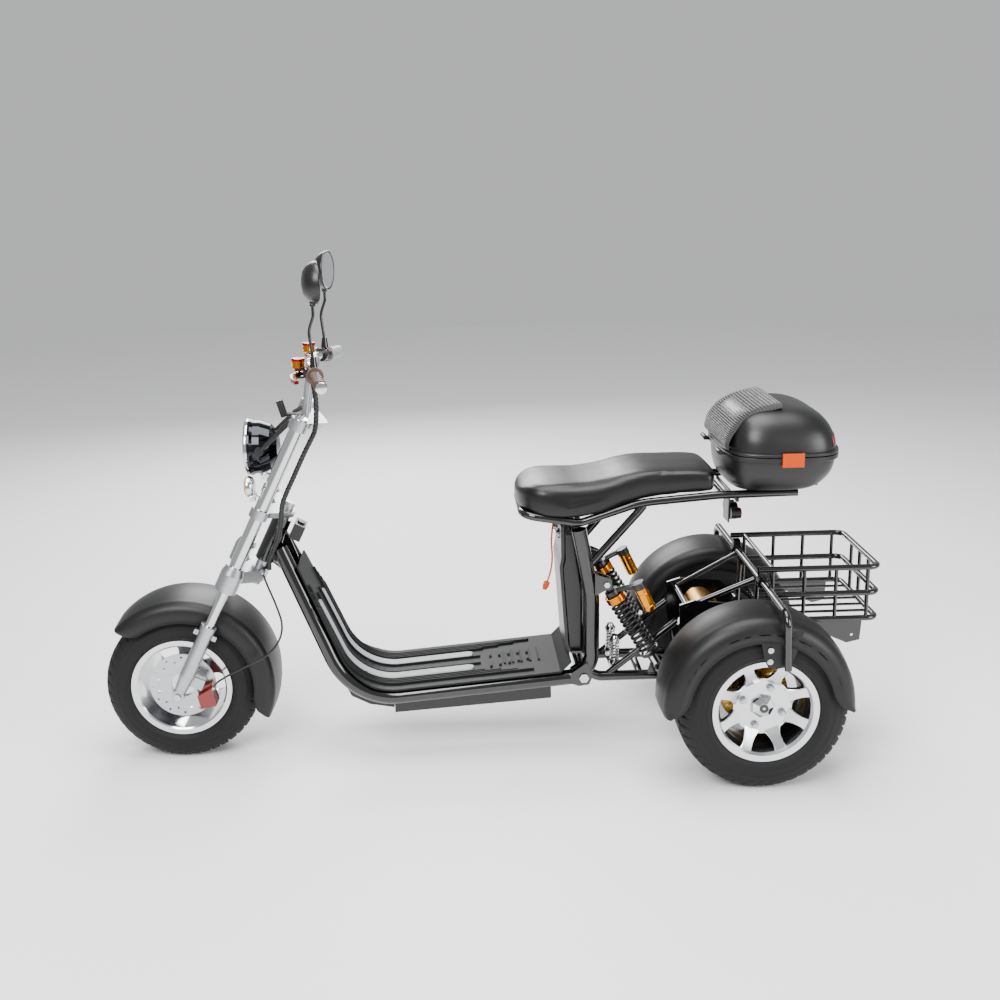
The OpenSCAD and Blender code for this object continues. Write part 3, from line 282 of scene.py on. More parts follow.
def surface(name, light, dark, rough, spread=0.06, grain=4.0, relief=0.0, relief_grain=None, **sockets):
    """A finish that drifts between two colours over patches of one grain, in millimetres, and whose
    roughness and relief follow a finer grain. Sockets that are even all over are set on the shader."""
    material = bpy.data.materials.new(name)
    material.use_nodes = True
    tree = material.node_tree
    tree.nodes.clear()
    place = add(tree, "ShaderNodeTexCoord").outputs["Object"]
    patch = add(tree, "ShaderNodeTexNoise", {"Vector": place, "Scale": 1 / (grain * 4 * MM), "Detail": 4.0})
    fine = add(tree, "ShaderNodeTexNoise",
               {"Vector": place, "Scale": 1 / ((relief_grain or grain) * MM), "Detail": 3.0})
    mix = add(tree, "ShaderNodeMix", {0: patch.outputs["Fac"], 6: colour(dark), 7: colour(light)},
              data_type="RGBA")
    wear = add(tree, "ShaderNodeMapRange", {"Value": fine.outputs["Fac"], "From Min": 0.3, "From Max": 0.7,
                                            "To Min": max(rough - spread, 0.02), "To Max": rough + spread})
    shader = add(tree, "ShaderNodeBsdfPrincipled", {"Base Color": mix.outputs[2],
                                                    "Roughness": wear.outputs["Result"], **sockets})
    if relief:
        bump = add(tree, "ShaderNodeBump", {"Height": fine.outputs["Fac"], "Strength": 0.5,
                                            "Distance": relief * MM})
        tree.links.new(bump.outputs["Normal"], shader.inputs["Normal"])
    out = add(tree, "ShaderNodeOutputMaterial")
    tree.links.new(shader.outputs["BSDF"], out.inputs["Surface"])
    return material


def finish(*look, **sockets):
    """A maker of one finish: its material is made at the first call and shared after that."""
    return functools.cache(lambda: surface(*look, **sockets))


# stove-baked gloss black over steel tube: near mirror, with a faint orange-peel waviness
powder_coated_steel = finish("Powder_coated_steel", "#0a0a0b", "#060607", 0.13, 0.04, 12, 0.05, 7.0,
                             **{"Coat Weight": 0.5, "Coat Roughness": 0.05})
# mudguard plastic: spark-eroded mould texture that turns highlights into a soft satin band
moulded_polypropylene = finish("Moulded_polypropylene", "#0b0b0b", "#080808", 0.44, 0.05, 9, 0.03, 0.8,
                               **{"Specular IOR Level": 0.35})
# injection-moulded ABS, fine grain, duller than the paint
black_abs = finish("Black_ABS", "#0d0d0e", "#090909", 0.34, 0.05, 8, 0.03, 0.7)
# polished polypropylene luggage shell: broad soft highlight over a nearly black body
box_shell_plastic = finish("Polypropylene_shell", "#080808", "#050505", 0.38, 0.05, 10, 0.025, 0.9)
# charcoal moulded foot deck, matte so that the ribs read by shading alone
deck_rubber = finish("Moulded_deck", "#0e0f10", "#0a0b0c", 0.58, 0.07, 10, 0.06, 0.9,
                     **{"Specular IOR Level": 0.25})
# silver-grey rubber tread laid into the deck, paler and drier than the plastic round it
grip_strip = finish("Grey_grip_rubber", "#9a9c9e", "#858789", 0.55, 0.08, 6, 0.08, 0.8)
# stretched black vinyl: fine pebbled grain with a satin sheen along the crown
seat_vinyl = finish("Black_vinyl", "#0a0a0a", "#060606", 0.36, 0.07, 14, 0.1, 1.1,
                    **{"Specular IOR Level": 0.35})
# grey leatherette over foam: dull, with small pores
pad_leatherette = finish("Grey_leatherette", "#3c3c3c", "#2c2c2c", 0.56, 0.08, 8, 0.12, 1.0)
# carbon-black tread rubber: matt and slightly dusty in the grooves
tyre_rubber = finish("Tyre_rubber", "#0d0d0e", "#080809", 0.66, 0.08, 14, 0.12, 1.6,
                     **{"Specular IOR Level": 0.3})
# decorative chrome on steel tube: a clean mirror
chrome_plate = finish("Chrome_plate", "#d9dadc", "#cfd0d2", 0.05, 0.02, 12, Metallic=1.0)
# smoked chrome on the lamp shell: dark mirror
black_chrome = finish("Black_chrome", "#35363a", "#2b2c2f", 0.09, 0.03, 12, Metallic=1.0)
# gravity-cast and painted silver: soft sparkle, faint sand texture
cast_aluminium = finish("Cast_aluminium", "#b9bbbd", "#a5a7a9", 0.33, 0.07, 6, 0.06, 1.2, Metallic=1.0)
# hand-polished wheel casting: bright with fine haze
polished_aluminium = finish("Polished_aluminium", "#dddee0", "#c9cacc", 0.14, 0.05, 9, 0.02, 1.5, Metallic=1.0)
# diamond-turned wheel face: pale, finely brushed round the axle
machined_aluminium = finish("Machined_aluminium", "#e6e7e9", "#d3d4d6", 0.24, 0.06, 5, 0.03, 0.9, Metallic=1.0)
# sprayed black inside the wheel barrel, glossy at the front
black_enamel = finish("Black_enamel", "#0a0a0b", "#060607", 0.22, 0.05, 10)
# ground stainless brake disc
brushed_stainless = finish("Brushed_stainless", "#c4c5c7", "#aeb0b2", 0.26, 0.07, 5, 0.02, 0.7, Metallic=1.0)
# gold-orange anodising on turned aluminium: saturated and glossy
gold_anodised = finish("Gold_anodised_aluminium", "#e3930f", "#cc7c0a", 0.17, 0.05, 9, Metallic=1.0)
# champagne anodising on the brake reservoirs
pale_gold_anodised = finish("Pale_gold_anodised_aluminium", "#d8b65c", "#c49f45", 0.2, 0.05, 8, Metallic=1.0)
# gold-coloured hard coating on the rear discs
titanium_nitride = finish("Titanium_nitride_steel", "#c79a45", "#ab7f33", 0.28, 0.06, 6, Metallic=1.0)
# bright red baked enamel on calipers
red_enamel = finish("Red_enamel", "#7d0604", "#620403", 0.25, 0.06, 7, 0.03, 1.0, **{"Coat Weight": 0.4})
# dark red anodising on the brake levers and reservoir caps
red_anodised = finish("Red_anodised_aluminium", "#a3182a", "#7f1020", 0.22, 0.05, 7, Metallic=1.0)
# unpainted orange ABS: latch and battery plug
orange_abs = finish("Orange_ABS", "#c84400", "#b03c00", 0.36, 0.06, 6, 0.02, 0.8, **{"Specular IOR Level": 0.2})
# silicone cable sheath
orange_silicone = finish("Orange_silicone", "#cc4a00", "#b44000", 0.45, 0.06, 5, **{"Specular IOR Level": 0.2})
# black PVC sheath of cables and hoses
cable_pvc = finish("Black_PVC", "#0a0a0a", "#060606", 0.36, 0.05, 5)
# painted spring wire, glossy black
spring_steel = finish("Painted_spring_steel", "#070708", "#040405", 0.3, 0.05, 6,
                      **{"Specular IOR Level": 0.35})
# bright zinc on nuts, bolts and pins
zinc_plate = finish("Zinc_plated_steel", "#c9cbcf", "#b2b5b9", 0.24, 0.06, 4, Metallic=1.0)
# gold-lacquered motor casting
motor_brass = finish("Lacquered_motor_casting", "#b98a3c", "#93692a", 0.3, 0.07, 7, 0.05, 1.5, Metallic=1.0)
# dark brown hand grip
brown_rubber = finish("Brown_grip_rubber", "#4a3226", "#38251b", 0.45, 0.07, 5, 0.06, 0.9)
# light grey ribbed throttle sleeve
grey_rubber = finish("Grey_grip_rubber_sleeve", "#9b9da0", "#84868a", 0.42, 0.07, 5, 0.05, 0.9)
# clear polycarbonate lamp lens
lens_glass = finish("Clear_polycarbonate", "#f4f6f8", "#eef1f4", 0.05, 0.02, 10,
                    **{"Transmission Weight": 0.9, "IOR": 1.58})
# amber acrylic over a bright reflector
amber_lens = finish("Amber_acrylic", "#e8b050", "#d99a34", 0.12, 0.03, 6, **{"Transmission Weight": 0.35})
# red acrylic reflector, prismatic behind the face
red_lens = finish("Red_acrylic", "#6f0504", "#520303", 0.14, 0.04, 3, 0.2, 1.4, **{"Transmission Weight": 0.2})
# silvered mirror glass
mirror_glass = finish("Silvered_glass", "#e9eef0", "#e2e8ea", 0.02, 0.01, 20, Metallic=1.0)
# matt white paper sweep
studio_floor = finish("White_paper", "#f4f4f4", "#f1f1f1", 0.8, 0.05, 400)


# ---------------------------------------------------------------- sizes a user may change
class TrikeSizes(bpy.types.PropertyGroup):
    """Sizes of the fine detail; the places and large sizes come from the CAD frame."""
    tread_depth: bpy.props.FloatProperty(name="Tread depth", description="Depth of the tyre grooves",
                                         default=0.006, subtype="DISTANCE", unit="LENGTH")
    tread_pitch: bpy.props.IntProperty(name="Tread blocks", description="Tread blocks round a tyre", default=44)
    spring_turns: bpy.props.IntProperty(name="Shock turns", description="Turns in a shock's coil", default=11)
    pleats: bpy.props.IntProperty(name="Pleats", description="Sewn pleats across the backrest pad", default=34)
    guard_wall: bpy.props.FloatProperty(name="Mudguard wall", description="Thickness of the mudguard plastic",
                                        default=0.0035, subtype="DISTANCE", unit="LENGTH")
    seat_fill: bpy.props.FloatProperty(name="Seat fill", description="How tightly the seat foam fills its cover",
                                       default=0.85, min=0.0, max=1.0, subtype="FACTOR")


def sizes():
    """The sizes as they stand in this scene."""
    return bpy.context.scene.trike_sizes


# ---------------------------------------------------------------- CAD nodes that keep their shape
FINISHES = {
    powder_coated_steel: ("main_frame", "seat_frame", "swingarm", "axle_carrier", "fender_hoop", "basket",
                          "mirror_stems"),
    black_abs: ("belly_pan", "controller_box", "battery_pack", "battery_cover", "neck_box", "bar_controls",
                "headlight_bracket", "tail_lights"),
    deck_rubber: ("deck_panel",),
    zinc_plate: ("charge_port", "frame_bolts", "front_axle"),
    orange_abs: ("battery_connector", "left_box_latch", "right_box_latch"),
    chrome_plate: ("fork_tubes", "handlebar"),
    cast_aluminium: ("triple_clamps", "fork_lowers", "steering_stem"),
    black_chrome: ("headlight_shell",),
    lens_glass: ("headlight_lens",),
    polished_aluminium: ("front_rim", "shock_rods"),
    brushed_stainless: ("front_disc",),
    red_anodised: ("left_brake_lever", "right_brake_lever"),
    red_enamel: ("front_caliper", "rear_calipers"),
    motor_brass: ("drive_motor",),
}


class TRIKE_OT_finishes(bpy.types.Operator):
    """Gives every CAD node that keeps its own shape the finish of the real part"""
    bl_idname = "trike.finishes"
    bl_label = "Finishes"

    def execute(self, context):
        for make, nodes in FINISHES.items():
            for node in nodes:
                mesh = frame["nodes"][node].data
                mesh.materials.clear()
                mesh.materials.append(make())
        return {"FINISHED"}


class TRIKE_OT_frame_details(bpy.types.Operator):
    """Upper ends of the seat struts, and the tail lamp lenses"""
    bl_idname = "trike.frame_details"
    bl_label = "Frame details"

    def execute(self, context):
        ends, lenses = [], []
        for side in (1, -1):
            path = flip([[REAR[0] + 0.304, 0.12, 0.693], [REAR[0] + 0.295, 0.12, 0.7035],
                         [REAR[0] + 0.283, 0.12, 0.7185]], side)
            ends.append(tube(path, 0.0113, 28, ref=(0, 1, 0)))
            lenses.append(closed_lathe([[0, 0], [0.0152, 0], [0.0152, 0.003], [0.012, 0.0052], [0, 0.0062]],
                                       array(REAR[0] + 0.0062, side * 0.04, 0.666), -FORWARD, 40))
        lenses.append(closed_lathe([[0, 0], [0.0242, 0], [0.0242, 0.003], [0.02, 0.0055], [0, 0.007]],
                                   array(REAR[0] + 0.0082, 0, 0.662), -FORWARD, 48))
        build("strut_ends", ends, powder_coated_steel(), "frame", sharp=40)
        build("tail_lamp_lenses", lenses, red_lens(), "frame", sharp=40)
        return {"FINISHED"}


# ---------------------------------------------------------------- tyres
def tyre_surface(middle, width, radius, seat, pitches, depth):
    """P(a, s): the section is a squared-off oval, across = w/2 * cos(s)^0.42 and radius = seat +
    (radius - seat) * sin(s)^0.9, turned by a. Grooves sink the tread: two zigzag rings and a slanted
    cut at each pitch from the rings out over the shoulder."""
    a = np.linspace(0, 2 * np.pi, pitches * 12, endpoint=False)[:, None]
    s = np.linspace(math.radians(8), math.radians(172), 88)[None, :]
    c = np.cos(s)
    across = width / 2 * np.sign(c) * np.abs(c) ** 0.42
    r = seat + (radius - seat) * np.sin(s) ** 0.9
    zigzag = np.abs((a * pitches / (2 * np.pi)) % 1 - 0.5) * 4 - 1
    ring = np.minimum(np.abs(np.abs(across) - 0.02 - 0.004 * zigzag), np.abs(np.abs(across) - 0.05))
    groove = np.clip(1.6 - ring / 0.0022, 0, 1)
    lean = a * pitches / (2 * np.pi) + np.abs(across) / 0.085
    cut = np.clip(1.7 - np.abs((lean % 1) - 0.5) / 0.075, 0, 1) * np.clip((np.abs(across) - 0.022) / 0.004, 0, 1)
    fade = np.clip((r - seat) / (radius - seat) * 3.2 - 1.9, 0, 1)
    r = r - depth * np.maximum(groove, cut * 0.9) * fade
    side = np.sin(np.clip((r - seat) / (radius - seat), 0, 1) * math.pi * 9) * 0.0005
    across = across + np.sign(c) * side * (np.abs(c) > 0.75)
    p = np.stack([r * np.cos(a), np.broadcast_to(across, r.shape), r * np.sin(a)], -1)
    return grid(middle + p, loop_u=True)


def bead(middle, seat, start, edge):
    """P(a, k): the two sidewall feet, a short profile turned round the axle from the sidewall's last ring
    down to the rim lip and in behind it."""
    profile = smooth_path([[start, edge], [start - 0.004, edge - 0.0008], [seat + 0.006, edge - 0.003],
                           [seat + 0.0018, edge - 0.0062], [seat - 0.0004, 0.0782], [seat - 0.0012, 0.07]], 14)
    return [lathe(profile * array(1, s), middle, ACROSS, 96) for s in (-1, 1)]


class TRIKE_OT_tyres(bpy.types.Operator):
    """Fat tyres with cut tread and ribbed sidewalls"""
    bl_idname = "trike.tyres"
    bl_label = "Tyres"

    def execute(self, context):
        s = sizes()
        for node, body in (("front_tyre", "front_wheel"), ("left_rear_tyre", "left_rear_wheel"),
                           ("right_rear_tyre", "right_rear_wheel")):
            low, high = corners(node)
            middle, radius, width = (low + high) / 2, (high[0] - low[0]) / 2, high[1] - low[1]
            rim_low, rim_high = corners("front_rim")
            seat = (rim_high[2] - rim_low[2]) / 2 + 0.0008
            parts = [tyre_surface(middle, width, radius, seat, s.tread_pitch, s.tread_depth)]
            first = math.radians(8)
            parts += bead(middle, seat, seat + (radius - seat) * math.sin(first) ** 0.9,
                          width / 2 * math.cos(first) ** 0.42)
            build(node.replace("tyre", "tread"), parts, tyre_rubber(), body, (node,), sharp=50)
        return {"FINISHED"}


# ---------------------------------------------------------------- wheels
def spoke(middle, out, turn, rim, half):
    """P(t, k): a flat cast spoke from the sunk hub disc out to the lip; its width pinches between two
    flares, its depth comes forward as it nears the lip, and its corners are eased."""
    t = np.linspace(0, 1, 25)
    r = 0.066 + (rim - 0.012 - 0.066) * t
    depth = half - 0.004 - 0.03 * (1 - t) ** 1.25 - 0.006
    width = 0.0125 + 0.0135 * (1 - t) ** 4 + 0.0085 * t ** 5
    k = np.array([[-1, 0], [-0.86, 1], [0.86, 1], [1, 0], [1, -1], [-1, -1]])
    drop = np.array([-0.0018, 0, 0, -0.0018, -0.016, -0.016])
    radial = array(math.cos(turn), 0, math.sin(turn))
    side = np.cross(out, radial)
    p = middle + r[:, None, None] * radial + (width[:, None] * k[:, 0])[..., None] * side \
        + (depth[:, None] + drop)[..., None] * out
    return grid(p, loop_v=True)


def rear_wheel(side):
    """One rear wheel: a black barrel with a bright lip, a machined face with eight windows, four nuts, a
    faceted cap and a drilled disc."""
    name = "left" if side > 0 else "right"
    body = name + "_rear_wheel"
    low, high = corners(name + "_rear_tyre")
    mid = (low + high) / 2
    out = ACROSS * side
    rim = (corners("front_rim")[1][2] - corners("front_rim")[0][2]) / 2
    half = RIM_HALF
    lip = [[rim - 0.022, half - 0.012], [rim - 0.017, half - 0.002], [rim - 0.002, half], [rim, half - 0.003],
           [rim - 0.001, half - 0.006], [rim - 0.0135, half - 0.008], [rim - 0.02, half - 0.02]]
    barrel = [[rim - 0.02, half - 0.018], [rim - 0.028, half - 0.035], [rim - 0.029, half - 0.052],
              [rim - 0.026, half - 0.056], [rim - 0.03, 0.004], [rim - 0.03, -0.03], [rim - 0.02, -half + 0.01],
              [rim - 0.004, -half], [rim, -half + 0.003], [rim - 0.001, -half + 0.006],
              [rim - 0.0135, -half + 0.008], [rim - 0.0135, half - 0.01]]
    build(name + "_rear_barrel", [lathe(barrel, mid, out, 96)], black_enamel(), body,
          (name + "_rear_rim",))
    build(name + "_rear_lip", [closed_lathe(lip, mid, out, 96)], machined_aluminium(), body)
    face = half - 0.04
    spokes = [spoke(mid, out, k * math.pi / 4 + 0.39, rim, half) for k in range(8)]
    dish = [[0, face - 0.012], [0.076, face - 0.012], [0.0785, face - 0.002], [0.077, face + 0.0015],
            [0.065, face + 0.0005], [0.03, face - 0.001], [0, face - 0.001]]
    spokes.append(closed_lathe(dish, mid, out, 96))
    build(name + "_rear_face", spokes, machined_aluminium(), body, sharp=28)
    build(name + "_rear_hub", [closed_lathe([[0, -half + 0.02], [0.036, -half + 0.02], [0.038, 0.0],
                                             [0.06, face - 0.024], [0.062, face - 0.011], [0, face - 0.011]],
                                            mid, out, 48)], black_enamel(), body)
    nuts = []
    for k in range(4):
        a = k * math.pi / 2 + 0.35
        at = mid + array(math.cos(a), 0, math.sin(a)) * 0.055 + out * (face - 0.0005)
        for profile, sides in (([[0, 0], [0.0125, 0], [0.0125, 0.0015], [0, 0.0015]], 32),
                               ([[0, 0.001], [0.0095, 0.001], [0.0095, 0.008], [0.007, 0.01], [0, 0.01]], 6),
                               ([[0, 0.009], [0.0045, 0.009], [0.004, 0.0135], [0, 0.014]], 20)):
            nuts.append(closed_lathe(profile, at, out, sides))
    build(name + "_rear_nuts", nuts, zinc_plate(), body, sharp=25)
    cap = [closed_lathe([[0, 0], [0.032, 0], [0.034, 0.003], [0.029, 0.011], [0.014, 0.019], [0, 0.021]],
                        mid + out * (face - 0.0015), out, 7)]
    build(name + "_rear_cap", cap, chrome_plate(), body, sharp=12)
    holes = [circle(0, 0, 0.092, 72), circle(0, 0, 0.044, 48)]
    for k in range(12):
        a = k * math.pi / 6
        holes.append(circle(0.08 * math.cos(a), 0.08 * math.sin(a), 0.004, 12))
        holes.append(circle(0.066 * math.cos(a + 0.26), 0.066 * math.sin(a + 0.26), 0.004, 12))
    build(name + "_rear_disc", [plate(holes, 0.005, 0.0006, facing(mid - out * (half - 0.022), out))],
          titanium_nitride(), body, sharp=28)


class TRIKE_OT_wheels(bpy.types.Operator):
    """Rear wheels: barrel, lip, windowed face, nuts, cap and disc"""
    bl_idname = "trike.wheels"
    bl_label = "Wheels"

    def execute(self, context):
        for side in (1, -1):
            rear_wheel(side)
        return {"FINISHED"}


# ---------------------------------------------------------------- mudguards
def guard_surface(middle, radius, half, skirt, start, end, crown=0.03):
    """P(a, k): the section runs up one side, over a rounded shoulder, across a gently crowned top and down
    the other side; it is turned about the wheel axis from start to end, and drawn in towards both ends."""
    a = np.linspace(start, end, 73)[:, None]
    q = np.linspace(0, math.pi / 2, 9)
    side_y, side_r = half - crown + crown * np.cos(q), radius - crown + crown * np.sin(q)
    top_y = np.linspace(half - crown, 0, 7)[1:]
    y = np.r_[half, half, half, side_y[1:], top_y]
    r = np.r_[radius - skirt, radius - skirt * 0.6, radius - crown, side_r[1:],
              radius + 0.006 * (1 - (top_y / (half - crown)) ** 2)]
    y, r = np.r_[y, -y[-2::-1]][None, :], np.r_[r, r[-2::-1]][None, :]
    t = (a - start) / (end - start)
    tip = np.clip(np.minimum(t, 1 - t) / 0.09, 0, 1)
    ease = np.sqrt(1 - (1 - tip) ** 2)
    lift = (1 - ease) * (radius - r) * 0.75
    rr, yy = r + lift, y * (1 - 0.05 * (1 - ease))
    p = np.stack([rr * np.cos(a), yy + 0 * rr, rr * np.sin(a)], -1)
    return grid(middle + p)


class TRIKE_OT_guards(bpy.types.Operator):
    """Moulded mudguards with a rolled edge, and their bolts"""
    bl_idname = "trike.guards"
    bl_label = "Mudguards"

    def execute(self, context):
        wall = sizes().guard_wall
        high = corners("front_fender")[1]
        middle = array(FRONT[0] - 0.008, 0, FRONT[2] + 0.003)
        build("front_mudguard", [guard_surface(middle, 0.252, high[1] - wall / 2, 0.058, math.radians(45),
                                               math.radians(202))],
              moulded_polypropylene(), "fork_lower", ("front_fender",), 60, wall)
        for name, side in SIDES.items():
            inner, outer = 0.1945, 0.39
            middle = array(REAR[0] + 0.015, side * (inner + outer) / 2, REAR[2] + 0.011)
            body = "swingarm_body"
            build(name + "_mudguard", [guard_surface(middle, 0.249, (outer - inner) / 2 - wall / 2, 0.062,
                                                     math.radians(-4), math.radians(182), 0.04)],
                  moulded_polypropylene(), body, ("rear_fenders",) if side > 0 else (),
                  60, wall)
            x = REAR[0] - 0.021
            tab = np.array([[-0.052, 0.055], [0.062, 0.055], [0.046, 0.0], [0.036, -0.026], [0.022, -0.041],
                            [-0.006, -0.045], [-0.026, -0.041], [-0.036, -0.02]])
            out = ACROSS * side
            place = facing(array(x, side * (outer - 0.0052), 0.398), out)
            build(name + "_mudguard_tab", [plate([tab], 0.004, 0.001, place)], moulded_polypropylene(), body)
            bolts = []
            for z in (0.405, 0.373):
                at = array(x + 0.022, side * (outer - 0.003 if z < 0.39 else outer), z)
                washer = [[0, 0], [0.0075, 0], [0.0075, 0.001], [0, 0.001]]
                cap = [[0, 0.001], [0.0055, 0.001], [0.0048, 0.0035], [0, 0.0042]]
                bolts += [closed_lathe(washer, at, out, 24), closed_lathe(cap, at, out, 20)]
            build(name + "_mudguard_bolts", bolts, zinc_plate(), body, sharp=30)
        return {"FINISHED"}


# ---------------------------------------------------------------- shocks and springs
def shock(name, side, turns):
    """One rear shock, from its top eye down: black head, gold preload collar, damper tube and coil, and a
    gold reservoir on a short arm."""
    eye = array(*JOINTS["shock_swing"]["pos_m"]) + array(0, side * 0.124, 0)
    down = -SHOCK_AXIS
    head = [closed_lathe([[0, 0.006], [0.01, 0.006], [0.0105, 0.024], [0.0195, 0.026], [0.0205, 0.03],
                          [0.02, 0.041], [0, 0.041]], eye, down, 48),
            closed_lathe([[0.0052, -0.012], [0.0115, -0.012], [0.013, -0.01], [0.013, 0.01], [0.0115, 0.012],
                          [0.0052, 0.012]], eye, ACROSS, 40),
            closed_lathe([[0.0061, 0.041], [0.0099, 0.041], [0.0099, 0.164], [0.0061, 0.164]], eye, down, 32)]
    arm = flip([[REAR[0] + 0.366, 0.128, 0.478], [REAR[0] + 0.345, 0.136, 0.489], [REAR[0] + 0.32, 0.146, 0.498],
                [REAR[0] + 0.3, 0.15, 0.503]], side)
    head.append(tube(smooth_path(arm, 24), 0.0078, 20, ref=(0, 1, 0)))
    top = flip(array(REAR[0] + 0.302, 0.15, 0.512), side)
    low = flip(array(REAR[0] + 0.266, 0.152, 0.436), side)
    along, reach = unit(low - top), np.linalg.norm(low - top)
    cup = [[0, 0], [0.0165, 0], [0.018, 0.0015], [0.018, 0.0185], [0, 0.0185]]
    head.append(closed_lathe(cup, top, along, 48))
    build(name + "_shock_head", head, black_abs(), "shock_body", ("shock_bodies",) if side > 0 else (),
          40)
    steps = []
    for k in range(9):
        z = 0.0405 + k * 0.0022
        steps += [[0.0262 if k % 2 else 0.028, z], [0.0262 if k % 2 else 0.028, z + 0.0015]]
    collar = [closed_lathe([[0.0105, 0.0402]] + steps + [[0.0105, 0.06]], eye, down, 48)]
    rings = [[0.0172, 0.019], [0.0172, 0.03], [0.0162, 0.0308], [0.0162, 0.033], [0.0172, 0.0338],
             [0.0172, reach - 0.016], [0.0162, reach - 0.0152], [0.0162, reach - 0.013], [0.0172, reach - 0.012],
             [0.0172, reach - 0.003], [0.0155, reach], [0, reach]]
    collar.append(closed_lathe([[0, 0.0187]] + rings, top, along, 48))
    build(name + "_shock_gold", collar, gold_anodised(), "shock_body", (), 30)
    coil = [helix(eye + down * 0.0605, eye + down * 0.2275, 0.0232, turns, 0.0043)]
    build(name + "_shock_coil", coil, spring_steel(), "shock_body", ("shock_springs",) if side > 0 else (),
          60)
    seat = [closed_lathe([[0.0065, 0.229], [0.0272, 0.229], [0.028, 0.232], [0.0272, 0.24], [0.0065, 0.24]],
                         eye, down, 48)]
    build(name + "_shock_seat", seat, black_abs(), "shock_rod", sharp=30)


def bump_spring(name, side):
    """One chromed bump stop: a cup, a rod, a short coil and a cap."""
    low, high = corners("bump_springs")
    x, y = (low[0] + high[0]) / 2, side * 0.045
    foot = array(x, y, low[2])
    cup = [[0, 0], [0.0135, 0], [0.015, 0.002], [0.015, 0.018], [0.012, 0.025], [0, 0.025]]
    rod = [[0, 0.024], [0.005, 0.024], [0.005, 0.083], [0, 0.083]]
    cap = [[0, 0.081], [0.015, 0.081], [0.015, 0.086], [0.0115, 0.089], [0.008, 0.097], [0, 0.097]]
    solid = [closed_lathe(profile, foot, UP, sides) for profile, sides in ((cup, 40), (rod, 24), (cap, 40))]
    solid.append(helix(foot + UP * 0.0255, foot + UP * 0.081, 0.0115, 6.5, 0.0022, ground=0.06))
    build(name + "_bump_spring", solid, chrome_plate(), "swingarm_body", ("bump_springs",) if side > 0 else (),
          40)


class TRIKE_OT_springs(bpy.types.Operator):
    """Rear shocks with their coils and reservoirs, and the chromed bump springs"""
    bl_idname = "trike.springs"
    bl_label = "Springs"

    def execute(self, context):
        for name, side in SIDES.items():
            shock(name, side, sizes().spring_turns)
            bump_spring(name, side)
        return {"FINISHED"}


# ---------------------------------------------------------------- soft goods
def inflate(obj, pressure, limit, hold_below):
    """Fills a padded piece: cloth pressure without gravity blows its cover up for a few steps, no point moves
    more than the limit, and the points below a level stay put."""
    mesh = obj.data
    before = np.zeros(len(mesh.vertices) * 3)
    mesh.vertices.foreach_get("co", before)
    before = before.reshape(-1, 3)
    pins = obj.vertex_groups.new(name="held")
    held = np.nonzero(before[:, 2] < hold_below(before))[0].tolist()
    pins.add(held, 1.0, "REPLACE")
    cloth = obj.modifiers.new("Cover", "CLOTH")
    cloth.settings.use_pressure = True
    cloth.settings.uniform_pressure_force = pressure
    cloth.settings.vertex_group_mass = "held"
    cloth.settings.mass = 0.15
    cloth.settings.tension_stiffness = cloth.settings.compression_stiffness = 25
    cloth.settings.bending_stiffness = 2
    cloth.settings.quality = 5
    cloth.settings.effector_weights.gravity = 0
    cloth.collision_settings.use_collision = False
    cloth.point_cache.frame_end = 20
    scene = bpy.context.scene
    for step in range(1, 17):
        scene.frame_set(step)
    evaluated = obj.evaluated_get(bpy.context.evaluated_depsgraph_get())
    after = np.zeros(len(mesh.vertices) * 3)
    evaluated.data.vertices.foreach_get("co", after)
    move = after.reshape(-1, 3) - before
    size = np.linalg.norm(move, axis=1, keepdims=True)
    move *= np.minimum(1, limit / np.maximum(size, 1e-9))
    obj.modifiers.remove(cloth)
    obj.vertex_groups.clear()
    scene.frame_set(1)
    mesh.vertices.foreach_set("co", (before + move).ravel())
    mesh.update()


def remesh(obj, size):
    """Rebuilds a piece's mesh as even quads of one size."""
    even = obj.modifiers.new("Even", "REMESH")
    even.mode, even.voxel_size, even.use_smooth_shade = "VOXEL", size, True
    mesh = bpy.data.meshes.new_from_object(obj.evaluated_get(bpy.context.evaluated_depsgraph_get()))
    obj.modifiers.clear()
    mesh.materials.clear()
    mesh.materials.append(obj.data.materials[0])
    obj.data = mesh


